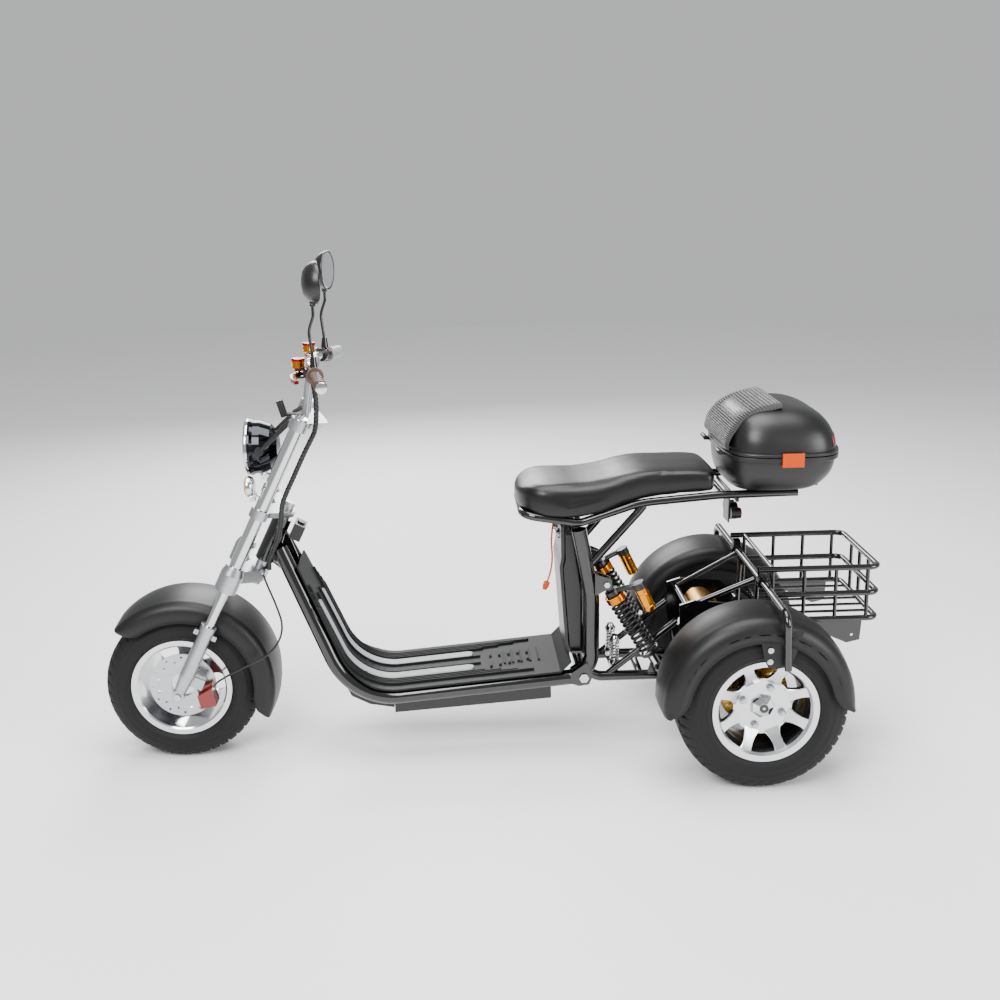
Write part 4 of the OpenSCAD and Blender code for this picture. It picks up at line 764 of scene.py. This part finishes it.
def seat_surface(low, high):
    """P(u, v): along the seat the underside and the crown follow smooth curves; each cross-section is a
    squared oval that leans in at the top and bottom, and the plan closes with a round nose and a squarer
    tail."""
    length = high[0] - low[0]
    u = (1 - np.cos(np.linspace(0, np.pi, 120))) / 2
    x = low[0] + length * u
    knots = np.array([0, 0.1, 0.22, 0.36, 0.46, 0.56, 0.68, 0.8, 0.92, 1.0])
    top = np.array([0.798, 0.804, 0.805, 0.8045, 0.797, 0.784, 0.7755, 0.7745, 0.7735, 0.766])
    under = np.array([0.746, 0.7455, 0.742, 0.7345, 0.7205, 0.7035, 0.688, 0.686, 0.691, 0.698])
    bend = smooth_path(np.c_[knots, top, under], 200)
    top, under = np.interp(u, bend[:, 0], bend[:, 1]), np.interp(u, bend[:, 0], bend[:, 2])
    half = (high[1] - low[1]) / 2
    nose = (1 - np.clip((u - 0.8) / 0.2, 0, 1) ** 2.8) ** 0.45
    tail = (1 - np.clip((0.06 - u) / 0.06, 0, 1) ** 3) ** 0.5
    waist = 0.905 + 0.095 * np.clip((u - 0.28) / 0.28, 0, 1)
    w = half * nose * tail * waist
    mid, h = (top + under) / 2, (top - under) / 2 * np.minimum(nose ** 0.6, tail ** 0.4)
    v = np.linspace(0, 2 * np.pi, 72, endpoint=False)[None, :]
    c, s = np.cos(v), np.sin(v)
    cy = np.sign(c) * np.abs(c) ** 0.22
    sz = np.sign(s) * np.abs(s) ** np.where(s > 0, 0.3, 0.24)
    lean = 1 - 0.07 * np.clip(sz, 0, 1) ** 3 - 0.06 * np.clip(-sz, 0, 1) ** 2
    y = w[:, None] * cy * lean
    crown = 0.006 * (1 - (y / half) ** 2) * (s > 0)
    z = mid[:, None] + h[:, None] * sz + crown * nose[:, None] * np.clip(u[:, None] / 0.04, 0, 1)
    return grid(np.stack([np.broadcast_to(x[:, None], y.shape), y, z], -1), loop_v=True)


class TRIKE_OT_seat(bpy.types.Operator):
    """Two-level vinyl seat, filled like foam under a stretched cover"""
    bl_idname = "trike.seat"
    bl_label = "Seat"

    def execute(self, context):
        low, high = corners("seat_cushion")
        seat = build("seat_cover", [seat_surface(low, high)], seat_vinyl(), "frame", ("seat_cushion",),
                     60)
        remesh(seat, 0.006)
        inflate(seat, 2.0, 0.003, lambda p: 0.45 * (low[2] + 0.03) + 0.55 * (low[2] + 0.06)
                - 0.1 * (p[:, 0] - low[0]))
        seat.data.shade_smooth()
        fine = seat.modifiers.new("Fine", "SUBSURF")
        fine.levels = fine.render_levels = 1
        return {"FINISHED"}


def pad_surface(outer, inner, half, pleats, depth):
    """P(t, v): the pad's face follows a curve over the lid; pleats sink it in even sewn channels, its sides
    stand square to the lid and carry the same channels, and it narrows a little towards the top."""
    t = np.linspace(0, 1, pleats * 8 + 1)
    face, back = smooth_path(outer, len(t)), smooth_path(inner, len(t))
    wave = (np.abs(np.sin(np.pi * pleats * t)) ** 0.6)[:, None]
    v = np.array([-1, -1, -0.985, -0.95, -0.8, -0.5, 0, 0.5, 0.8, 0.95, 0.985, 1, 1])[None, :]
    lift = np.array([0, 0.8, 0.93, 0.985, 1, 1, 1, 1, 1, 0.985, 0.93, 0.8, 0])[None, :]
    ends = (1 - np.abs(2 * t - 1) ** 30)[:, None] ** 0.5
    away = face - back
    share = depth / np.linalg.norm(away, axis=1)[:, None]
    lift = lift * ends * (1 - share * (1 - wave))
    front = back[:, None, :] + away[:, None, :] * lift[..., None]
    narrow = 1 - 0.22 * np.clip(t[:, None] - 0.35, 0, 1) ** 1.6
    y = v * half * narrow * (0.985 + 0.015 * wave * (lift > 0.1))
    return grid(np.stack([front[..., 0], y, front[..., 2]], -1), loop_v=True)


class TRIKE_OT_backrest(bpy.types.Operator):
    """Pleated backrest pad on the front and top of the luggage lid"""
    bl_idname = "trike.backrest"
    bl_label = "Backrest"

    def execute(self, context):
        low, high = corners("backrest_pad")
        half = (high[1] - low[1]) / 2
        face = ((0.156, 0.012), (0.158, 0.028), (0.148, 0.06), (0.12, 0.094), (0.072, 0.119), (0.004, 0.134))
        lid = ((0.147, 0.012), (0.1465, 0.027), (0.132, 0.055), (0.104, 0.082), (0.064, 0.103), (0.004, 0.1155))
        outer, inner = ([[BOX_X + a, 0, LID_FOOT + b] for a, b in line] for line in (face, lid))
        cover = pad_surface(outer, inner, half, sizes().pleats, 0.0042)
        pad = build("backrest_cover", [cover], pad_leatherette(), "box_lid_body", ("backrest_pad",),
                    60)
        return {"FINISHED"}


# ---------------------------------------------------------------- luggage box
def rounded(length, width, power, count=96):
    """A squared oval round the origin: (|2x/l|^n + |2y/w|^n = 1)."""
    a = np.linspace(0, 2 * np.pi, count, endpoint=False)
    c, s = np.cos(a), np.sin(a)
    r = (np.abs(c) ** power + np.abs(s) ** power) ** (-1 / power)
    return np.c_[length / 2 * r * c, width / 2 * r * s]


def shell_surface(middle, levels, power, count=40):
    """P(k, a): squared ovals stacked up Z, whose length, width and shift follow smooth curves through the
    levels (height, length, width, shift); a level of zero length closes the shell."""
    path = smooth_path(levels, count)
    a = rounded(1, 1, power)
    return np.stack([middle + row[3] + row[1] * a[:, 0] for row in path]), \
        np.stack([row[2] * a[:, 1] for row in path]), path[:, 0]


def shell(middle, levels, power, count=40):
    """The mesh of a stacked-oval shell, closed at its last level."""
    x, y, z = shell_surface(middle, levels, power, count)
    p = np.stack([x, y, np.broadcast_to(z[:, None], x.shape)], -1)
    tip = np.broadcast_to(array(p[-1, :, 0].mean(), 0, p[-1, 0, 2]), (1,) + p.shape[1:])
    return grid(np.concatenate([p, tip]), loop_v=True)


def ring(middle, length, width, power, section):
    """A closed band round a squared oval: section is a loop of (outwards, up) points."""
    p = []
    for out, up in section + section[:1]:
        o = rounded(length + 2 * out, width + 2 * out, power)
        p.append(np.c_[middle + o[:, 0], o[:, 1], np.full(len(o), up)])
    return grid(np.array(p), loop_v=True)


class TRIKE_OT_luggage(bpy.types.Operator):
    """Luggage box: bowl, lid, seam bands, reflectors and hinge knobs"""
    bl_idname = "trike.luggage"
    bl_label = "Luggage box"

    def execute(self, context):
        x, floor, seam = BOX_X, corners("box_base")[0][2] - 0.005, SEAM
        length, width, power = 0.308, 0.398, 3.8
        bowl = [[seam, length - 0.016, width - 0.012, 0], [seam - 0.03, length - 0.018, width - 0.016, 0.001],
                [floor + 0.042, length - 0.03, width - 0.026, 0.005],
                [floor + 0.014, length - 0.062, width - 0.056, 0.014],
                [floor + 0.001, length - 0.11, width - 0.104, 0.024], [floor + 0.0005, 0.1, 0.14, 0.024]]
        build("box_bowl", [shell(x, bowl, power)], box_shell_plastic(), "frame", ("box_base",),
              50, 0.0035)
        band = [(-0.0015, seam - 0.013), (0.0, seam - 0.012), (0.0, seam - 0.0005), (-0.012, seam - 0.0005),
                (-0.012, seam - 0.013)]
        build("box_seam_band", [ring(x, length, width, power, band)], black_abs(), "frame", round_off=0.0012)
        hinges = []
        for side in (1, -1):
            at = array(-0.626, side * 0.09, seam)
            hinges.append(closed_lathe([[0, -0.02], [0.0055, -0.02], [0.0062, -0.018], [0.0062, 0.018],
                                        [0.0055, 0.02], [0, 0.02]], at, ACROSS, 32))
            hinges.append(box(at + array(-0.01, 0, -0.006), array(0.02, 0.016, 0.009)))
        build("box_hinges", hinges, black_abs(), "frame", round_off=0.001)
        z = LID_FOOT
        top = [[z, length - 0.016, width - 0.012, 0], [z + 0.02, length - 0.017, width - 0.015, 0.0005],
               [z + 0.044, length - 0.024, width - 0.026, 0.002],
               [z + 0.07, length - 0.046, width - 0.05, 0.004],
               [z + 0.093, length - 0.084, width - 0.09, 0.008],
               [z + 0.109, length - 0.144, width - 0.15, 0.013],
               [z + 0.1165, length - 0.226, width - 0.24, 0.016]]
        build("box_lid_shell", [shell(x, top, power)], box_shell_plastic(), "box_lid_body", ("box_lid",),
              50, 0.0035)
        band = [(0.0, z + 0.0003), (0.0, z + 0.0075), (-0.004, z + 0.0095), (-0.012, z + 0.0095),
                (-0.012, z + 0.0003)]
        build("box_lid_band", [ring(x, length, width, power, band)], black_abs(), "box_lid_body",
              round_off=0.0012)
        for name, side in SIDES.items():
            a, b, h = shell_surface(x, top, power)
            k = slice(6, 14)
            span = np.arange(36, 45) if side > 0 else np.arange(52, 61)
            c = array(x, 0, 0)
            p = np.stack([a[k][:, span], b[k][:, span], np.broadcast_to(h[k][:, None], (8, len(span)))], -1)
            out = (p - c) * array(1, 1, 0)
            p = p + out / np.linalg.norm(out, axis=2, keepdims=True) * 0.0022
            build(name + "_reflector", [grid(p)], red_lens(), "box_lid_body", wall=0.003)
        return {"FINISHED"}


# ---------------------------------------------------------------- foot deck
def deck_path(count=160):
    """The deck's own surface line, from the neck down, round the bend and back along the floor, with the
    direction square to it: two straights joined by an arc."""
    neck, front = array(0.56, 0, 0.604), array(0.374, 0, 0.178)
    rear = array(-0.201, 0, 0.178 + 0.058 * 0.575 / 0.66)
    down, back = unit(front - neck), unit(rear - front)
    lift, bend = 0.0312, 0.184
    square = lambda d: array(d[2], 0, -d[0])
    turn = math.acos(down @ back)
    start = front - down * bend * math.tan(turn / 2)
    middle = start + square(down) * bend
    first = np.linspace(0, 1, 50)[:, None] * (start - (neck + down * 0.065)) + neck + down * 0.065
    a = np.linspace(0, turn, 60)[:, None]
    arc = middle - bend * (np.cos(a) * square(down) - np.sin(a) * down)
    last = arc[-1] + np.linspace(0, 1, 60)[1:, None] * (rear - arc[-1])
    line = np.vstack([first, arc[1:], last])
    t = unit_rows(np.gradient(line, axis=0))
    n = np.c_[t[:, 2], np.zeros(len(t)), -t[:, 0]]
    line = line + n * lift
    run = np.r_[0, np.cumsum(np.linalg.norm(np.diff(line, axis=0), axis=1))]
    even = np.linspace(0, run[-1], count)
    at = lambda v: np.stack([np.interp(even, run, v[:, i]) for i in range(3)], -1)
    return at(line), unit_rows(at(n)), even


def unit_rows(v):
    """Each row with length one."""
    return v / np.linalg.norm(v, axis=1)[:, None]


def strip(start, end, y0, y1, height, rounded_ends=True, count=160):
    """P(s, k): a raised strip on the deck between two distances along it and two distances across, with
    sloping sides and, if wanted, half-round ends."""
    line, normal, run = deck_path(400)
    s = np.linspace(start, end, count)
    at = np.stack([np.interp(s, run, line[:, i]) for i in range(3)], -1)
    n = np.stack([np.interp(s, run, normal[:, i]) for i in range(3)], -1)
    half, mid = abs(y1 - y0) / 2, (y0 + y1) / 2
    near = np.clip(np.minimum(s - start, end - s) / half, 0, 1) if rounded_ends else np.ones(count)
    w = half * np.sqrt(np.maximum(1 - (1 - near) ** 2, 1e-4))
    edge = np.minimum(0.002, half / 3)
    across = np.array([-1, -1, -1, 1, 1, 1])
    inset = np.array([0, 0, 1, 1, 0, 0]) * edge
    level = np.array([-0.004, 0, height, height, 0, -0.004])
    y = mid + np.maximum(w[:, None] - inset, 0) * across
    return grid(at[:, None, :] + n[:, None, :] * level[None, :, None] + y[..., None] * ACROSS)


class TRIKE_OT_deck(bpy.types.Operator):
    """Grip strips, long ribs, chevrons and the seam of the foot deck"""
    bl_idname = "trike.deck"
    bl_label = "Foot deck"

    def execute(self, context):
        total = deck_path()[2][-1]
        pale, ribs = [], []
        for side in (1, -1):
            pale.append(strip(0.115, total - 0.235, side * 0.03, side * 0.064, 0.0022))
            for k, y in enumerate((0.074, 0.084, 0.094, 0.104)):
                ribs.append(strip(0.055 + 0.02 * k, total - 0.205 + 0.045 * k, side * y, side * (y + 0.0045),
                                  0.0035))
            ribs.append(strip(0.1, total - 0.215, side * 0.0225, side * 0.0265, 0.003))
        ribs.append(strip(0.36, 0.364, -0.112, 0.112, 0.0012, False, 4))
        for k in range(5):
            s = total - 0.19 + k * 0.026
            for side in (1, -1):
                ribs.append(strip(s, s + 0.007, side * 0.012, side * (0.06 - 0.006 * k), 0.0032, False, 6))
        build("deck_strips", pale, grip_strip(), "frame", sharp=25)
        build("deck_ribs", ribs, deck_rubber(), "frame", sharp=25)
        return {"FINISHED"}


# ---------------------------------------------------------------- lamps
class TRIKE_OT_lamps(bpy.types.Operator):
    """Headlight bezel, reflector and lamp, and the two round turn signals"""
    bl_idname = "trike.lamps"
    bl_label = "Lamps"

    def execute(self, context):
        low, high = corners("headlight_shell")
        middle = array(high[0] - 0.01, 0, (low[2] + high[2]) / 2)
        bezel = [[0.0672, 0.003], [0.0765, 0.002], [0.0775, 0.006], [0.0768, 0.01], [0.0735, 0.0125],
                 [0.069, 0.011], [0.0672, 0.006]]
        build("headlight_bezel", [closed_lathe(bezel, middle, FORWARD, 96)], chrome_plate(), "steering",
              sharp=50)
        a = np.linspace(0, 2 * np.pi, 96, endpoint=False)
        r = np.linspace(0.006, 0.065, 26)
        flutes = 1 + 0.012 * np.cos(24 * a)[None, :] * np.sin(np.pi * (r / 0.065))[:, None]
        depth = -0.052 + 0.046 * (r / 0.065) ** 2
        p = middle + depth[:, None, None] * FORWARD + (r[:, None] * flutes * np.cos(a))[..., None] * ACROSS \
            + (r[:, None] * flutes * np.sin(a))[..., None] * UP
        bulb = [[0, -0.052], [0.0105, -0.052], [0.0105, -0.03], [0.008, -0.022], [0, -0.02]]
        build("headlight_reflector", [grid(p, loop_v=True)], chrome_plate(), "steering", wall=-0.0012, sharp=60)
        build("headlight_bulb", [closed_lathe(bulb, middle, FORWARD, 32)], pale_gold_anodised(), "steering")
        high = corners("turn_signals")[1]
        chrome, amber = [], []
        cup = [[0, -0.0135], [0.013, -0.0135], [0.023, -0.01], [0.0272, -0.003], [0.028, 0.002],
               [0.028, 0.005], [0.0262, 0.007], [0.025, 0.005], [0, 0.004]]
        lens = [[0, 0.003], [0.0252, 0.003], [0.0252, 0.0075], [0.024, 0.0105], [0.019, 0.0125],
                [0.011, 0.0136], [0, 0.0139]]
        for side in (1, -1):
            at = array(high[0] - 0.014, side * 0.117, 0.798)
            chrome.append(closed_lathe(cup, at, FORWARD, 64))
            chrome.append(box(array(high[0] - 0.02, side * 0.117, 0.7635), array(0.016, 0.02, 0.01)))
            stalk = flip([[high[0] - 0.062, 0.118, 0.7685], [high[0] - 0.048, 0.118, 0.77],
                          [high[0] - 0.03, 0.1175, 0.775], [high[0] - 0.022, 0.117, 0.784]], side)
            chrome.append(tube(smooth_path(stalk, 20), 0.0052, 16, ref=(0, 1, 0)))
            amber.append(closed_lathe(lens, at, FORWARD, 64))
        build("signal_housings", chrome, chrome_plate(), "steering", ("turn_signals",), 40)
        build("signal_lenses", amber, amber_lens(), "steering", sharp=60)
        return {"FINISHED"}


# ---------------------------------------------------------------- handlebar fittings
BAR_ELBOW, BAR_END = array(0.45304, 0.07, 1.10923), array(0.40304, 0.295, 1.08923)


def on_bar(y, side=1):
    """A point on the bar's straight, by its distance from the middle plane."""
    return flip(BAR_ELBOW + (BAR_END - BAR_ELBOW) * (y - 0.07) / 0.225, side)


def grip(name, side, material, node, body, cap):
    """A handlebar grip: a sleeve with fine rings between two smooth bands, a flange and an end cap."""
    start, end = on_bar(0.183, side), on_bar(0.294, side)
    along, length = unit(end - start), np.linalg.norm(end - start)
    sleeve = [[0.01125, 0], [0.0225, 0], [0.023, 0.001], [0.023, 0.004], [0.0215, 0.005], [0.0166, 0.0058],
              [0.016, 0.012]]
    for k in range(22):
        z = 0.014 + k * (length - 0.03) / 22
        sleeve += [[0.0156, z], [0.0165, z + 0.0009], [0.0166, z + 0.0028], [0.0156, z + 0.0036]]
    sleeve += [[0.0158, length - 0.014], [0.0166, length - 0.01], [0.0166, length - 0.001], [0.0158, length],
               [0.01125, length]]
    build(name, [closed_lathe(sleeve, start, along, 48)], material, body, (node,), sharp=40)
    tip = on_bar(0.2953, side)
    end_cap = [[0, 0.0003], [0.0118, 0.0003], [0.0146, 0.002], [0.0146, 0.009], [0.0132, 0.0132],
               [0.007, 0.0146], [0, 0.0148]]
    build(name + "_end", [closed_lathe(end_cap, tip, along, 48)], cap, body, sharp=50)


class TRIKE_OT_controls(bpy.types.Operator):
    """Ringed grips, gold brake reservoirs with red caps, and the switch pods"""
    bl_idname = "trike.controls"
    bl_label = "Controls"

    def execute(self, context):
        grip("brown_grip", 1, brown_rubber(), "left_grip", "steering", chrome_plate())
        grip("throttle_sleeve", -1, grey_rubber(), "throttle_grip", "throttle", chrome_plate())
        low, high = corners("brake_reservoirs")
        pots, caps, pods = [], [], []
        for side in (1, -1):
            at = array(high[0] - 0.018, side * (high[1] - 0.018), low[2])
            rings = [[0, 0], [0.015, 0], [0.017, 0.002]]
            for k in range(4):
                z = 0.0035 + k * 0.0042
                rings += [[0.017, z], [0.017, z + 0.0026], [0.0158, z + 0.003], [0.0158, z + 0.0038]]
            pots.append(closed_lathe(rings + [[0.017, 0.0197], [0, 0.0197]], at, UP, 56))
            lid = [[0, 0.02], [0.0178, 0.02], [0.018, 0.0206], [0.018, 0.025], [0.0168, 0.0262],
                   [0.012, 0.0262], [0.0112, 0.0256], [0, 0.0256]]
            caps.append(closed_lathe(lid, at, UP, 56))
            for k in range(3):
                a = 2 * math.pi * k / 3 + 0.4
                foot = at + array(0.0142 * math.cos(a), 0.0142 * math.sin(a), 0.0262)
                caps.append(closed_lathe([[0, 0], [0.0016, 0], [0.0016, 0.0007], [0, 0.0008]], foot, UP, 12))
            pod, along = on_bar(0.163, side), unit(on_bar(0.18, side) - on_bar(0.16, side))
            for turn, size in ((0.5, 0.0042), (1.4, 0.0034), (-0.5, 0.0034)):
                out = array(-math.cos(turn), 0, math.sin(turn))
                button = [[0, 0.016], [size, 0.016], [size, 0.0205], [size * 0.8, 0.0215], [0, 0.0217]]
                pods.append(closed_lathe(button, pod + along * 0.008 * (turn - 0.5), out, 20))
        build("reservoir_pots", pots, gold_anodised(), "steering", ("brake_reservoirs",), 30)
        build("reservoir_caps", caps, red_anodised(), "steering", sharp=30)
        build("switch_buttons", pods, red_enamel(), "steering", sharp=40)
        return {"FINISHED"}


class TRIKE_OT_mirrors(bpy.types.Operator):
    """Mirror shells with a rolled rim, silvered glass turned in towards the rider, and rubber boots"""
    bl_idname = "trike.mirrors"
    bl_label = "Mirrors"

    def execute(self, context):
        toe_in = math.radians(14)
        back = [[0, 0.025], [0.014, 0.0243], [0.03, 0.0205], [0.042, 0.012], [0.05, 0.001],
                [0.0535, -0.0085], [0.0538, -0.0125], [0.0528, -0.0138], [0.0512, -0.0132], [0.0505, -0.0098],
                [0, -0.0098]]
        boot = [[0.0041, -0.0585], [0.0068, -0.0585], [0.0078, -0.055], [0.0066, -0.0525], [0.0084, -0.0495],
                [0.007, -0.047], [0.0088, -0.044], [0.01, -0.038], [0.0041, -0.036]]
        glass = [[0, -0.0102], [0.0497, -0.0102], [0.0497, -0.012], [0.0488, -0.0126], [0, -0.0122]]
        for name, side in SIDES.items():
            middle = array(0.4246, side * 0.177, 1.3332)
            ahead = array(math.cos(toe_in), side * math.sin(toe_in), 0)
            parts = [closed_lathe(back, middle, ahead, 80), closed_lathe(boot, middle, UP, 32)]
            build(name + "_mirror_shell", parts, black_abs(), name + "_mirror_head", (name + "_mirror",),
                  45)
            build(name + "_mirror_glass", [closed_lathe(glass, middle, ahead, 80)], mirror_glass(),
                  name + "_mirror_head", sharp=30)
        return {"FINISHED"}


# ---------------------------------------------------------------- cables
def millimetres(*points):
    """Points given in millimetres, in metres."""
    return np.array(points, float) / 1000


LOOM = millimetres([448, 64, 1072], [440, 74, 1034], [438, 83, 985], [444, 88, 938], [459, 92, 907],
                   [475, 95, 877], [501, 98, 824], [536, 98, 750], [545, 96, 700], [555, 88, 650],
                   [572, 75, 610], [588, 60, 575], [592, 48, 545])
BRAKE_HOSE = millimetres([605, 100, 560], [590, 112, 520], [570, 122, 470], [556, 126, 420], [560, 128, 380],
                         [580, 130, 345], [610, 132, 320], [650, 132, 300], [690, 130, 280], [720, 126, 262],
                         [742, 120, 246], [752, 112, 232], [758, 104, 218])
BATTERY_LEAD = millimetres([-209, 50, 660], [-209, 50, 667], [-206, 50, 673], [-200, 50, 676], [-194, 50, 673],
                           [-190, 50, 666], [-188, 50, 656], [-186, 50, 640], [-184, 50, 620], [-183, 50, 600],
                           [-184, 50, 580], [-185, 50, 560], [-184, 50, 540], [-181, 50, 520], [-176, 50, 500],
                           [-171, 50, 486])


class TRIKE_OT_cables(bpy.types.Operator):
    """Spiral-wrapped loom, brake hose with its end fittings, and the battery's charge lead"""
    bl_idname = "trike.cables"
    bl_label = "Cables"

    def execute(self, context):
        path = smooth_path(LOOM, 700)
        run = np.r_[0, np.cumsum(np.linalg.norm(np.diff(path, axis=0), axis=1))]
        a = np.linspace(0, 2 * np.pi, 20, endpoint=False)[None, :]
        wave = np.mod(run[:, None] / 0.011 - a / (2 * np.pi), 1)
        radius = 0.0061 + 0.0009 * np.clip(np.minimum(wave, 1 - wave) * 9 - 0.6, 0, 1)
        build("spiral_loom", [tube(path, radius, 20, ref=(0, 1, 0.2))], cable_pvc(), "steering", ("wiring_loom",),
              50)
        hose = smooth_path(BRAKE_HOSE, 220)
        nut = [[0, 0], [0.0042, 0], [0.0045, 0.001], [0.0045, 0.011], [0.0034, 0.013], [0, 0.013]]
        ends = [closed_lathe(nut, p, unit(q - p), 6) for p, q in ((hose[0], hose[12]), (hose[-1], hose[-12]))]
        build("brake_hose", [tube(hose, 0.0029, 14, ref=(0, 1, 0.2))], cable_pvc(), "fork_lower",
              ("front_brake_hose",), 60)
        build("hose_fittings", ends, zinc_plate(), "fork_lower", sharp=30)
        lead = smooth_path(BATTERY_LEAD, 160)
        cord = build("charge_lead", [tube(lead, 0.0025, 18, ref=(0, 1, 0))], orange_silicone(), "frame",
                     ("battery_lead",), 60)
        tuple(lead[0])
        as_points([tuple(p) for p in lead[::4]] + [tuple(lead[-1])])
        return {"FINISHED"}


# ---------------------------------------------------------------- stage
CAMERA = dict(place=(0.1162, 3.2909, 1.6323), yaw=0.0228, pitch=0.2443, roll=-0.0207, lens=44.65,
              shift=(0.0324, -0.0351))


def soft_lamp(name, place, aim, size, power):
    """A square soft lamp at a place, facing a point, level from side to side."""
    data = bpy.data.lights.new(name, "AREA")
    data.shape, data.size, data.energy = "SQUARE", size, power
    lamp = bpy.data.objects.new(name, data)
    bpy.context.scene.collection.objects.link(lamp)
    lamp.matrix_world = facing(place, np.asarray(place) - np.asarray(aim))


class TRIKE_OT_stage(bpy.types.Operator):
    """Pale floor, soft studio light and the camera"""
    bl_idname = "trike.stage"
    bl_label = "Stage"

    def execute(self, context):
        looks = context.scene.trike_looks
        floor = build("floor", [grid(np.array([[[x, y, 0] for y in (-9.0, 9.0)] for x in (-9.0, 9.0)]))],
                      studio_floor(), "frame")
        world = bpy.data.worlds.new("studio")
        world.use_nodes = True
        world.node_tree.nodes["Background"].inputs["Color"].default_value = colour(looks.surround)
        world.node_tree.nodes["Background"].inputs["Strength"].default_value = looks.surround_strength
        context.scene.world = world
        soft_lamp("key", (1.4, 3.0, 3.4), (0, 0, 0.5), 2.2, looks.key_power)
        soft_lamp("top", (-0.2, 0.2, 4.0), (-0.2, 0, 0.5), 2.6, looks.key_power * 0.9)
        soft_lamp("fill", (-3.2, 2.4, 1.6), (-0.3, 0, 0.5), 1.8, looks.key_power * 0.45)
        soft_lamp("rim", (0.5, -3.4, 2.6), (0, 0, 0.6), 2.0, looks.key_power * 0.7)
        data = bpy.data.cameras.new("camera")
        data.lens, data.sensor_width = CAMERA["lens"], 36
        data.shift_x, data.shift_y = CAMERA["shift"]
        data.clip_end = 60
        yaw, pitch, roll = CAMERA["yaw"], CAMERA["pitch"], CAMERA["roll"]
        ahead = array(-math.sin(yaw) * math.cos(pitch), -math.cos(yaw) * math.cos(pitch), -math.sin(pitch))
        level = unit(np.cross(ahead, UP))
        upright = np.cross(level, ahead)
        right = math.cos(roll) * level + math.sin(roll) * upright
        up = -math.sin(roll) * level + math.cos(roll) * upright
        turn = np.eye(4)
        turn[:3, 0], turn[:3, 1], turn[:3, 2], turn[:3, 3] = right, up, -ahead, CAMERA["place"]
        camera = bpy.data.objects.new("camera", data)
        context.scene.collection.objects.link(camera)
        camera.matrix_world = Matrix(turn)
        context.scene.camera = camera
        return {"FINISHED"}


class TrikeLooks(bpy.types.PropertyGroup):
    """The colours and light that a user may change"""
    surround: bpy.props.StringProperty(name="Surround", description="Colour of the studio surround, as hex",
                                       default="#F4F5F7")
    surround_strength: bpy.props.FloatProperty(name="Surround strength", description="Light from all round",
                                               default=0.62, min=0, max=4, subtype="FACTOR")
    key_power: bpy.props.FloatProperty(name="Key light", description="Power of the main soft lamp", default=230,
                                       min=10, max=1000, unit="POWER")


# ---------------------------------------------------------------- add-on
OPERATORS = (TRIKE_OT_stage, TRIKE_OT_cables, TRIKE_OT_finishes, TRIKE_OT_frame_details, TRIKE_OT_tyres,
             TRIKE_OT_wheels, TRIKE_OT_guards, TRIKE_OT_springs, TRIKE_OT_seat, TRIKE_OT_backrest,
             TRIKE_OT_luggage, TRIKE_OT_deck, TRIKE_OT_lamps, TRIKE_OT_controls, TRIKE_OT_mirrors)


class TRIKE_PT_panel(bpy.types.Panel):
    """Sizes, looks and pieces of the three-wheeler"""
    bl_label = "Three-wheeler"
    bl_idname = "TRIKE_PT_panel"
    bl_space_type = "VIEW_3D"
    bl_region_type = "UI"
    bl_category = "Trike"

    def draw(self, context):
        for group in (context.scene.trike_sizes, context.scene.trike_looks):
            for name in group.__annotations__:
                self.layout.prop(group, name)
        for operator in OPERATORS:
            self.layout.operator(operator.bl_idname)


CLASSES = (TrikeSizes, TrikeLooks) + OPERATORS + (TRIKE_PT_panel,)


def register():
    for cls in CLASSES:
        bpy.utils.register_class(cls)
    bpy.types.Scene.trike_sizes = bpy.props.PointerProperty(type=TrikeSizes)
    bpy.types.Scene.trike_looks = bpy.props.PointerProperty(type=TrikeLooks)


def unregister():
    del bpy.types.Scene.trike_looks
    del bpy.types.Scene.trike_sizes
    for cls in reversed(CLASSES):
        bpy.utils.unregister_class(cls)


def main():
    register()
    for operator in OPERATORS:
        family, action = operator.bl_idname.split(".")
        getattr(getattr(bpy.ops, family), action)()
    bpy.context.view_layer.update()


if __name__ == "__main__":
    main()
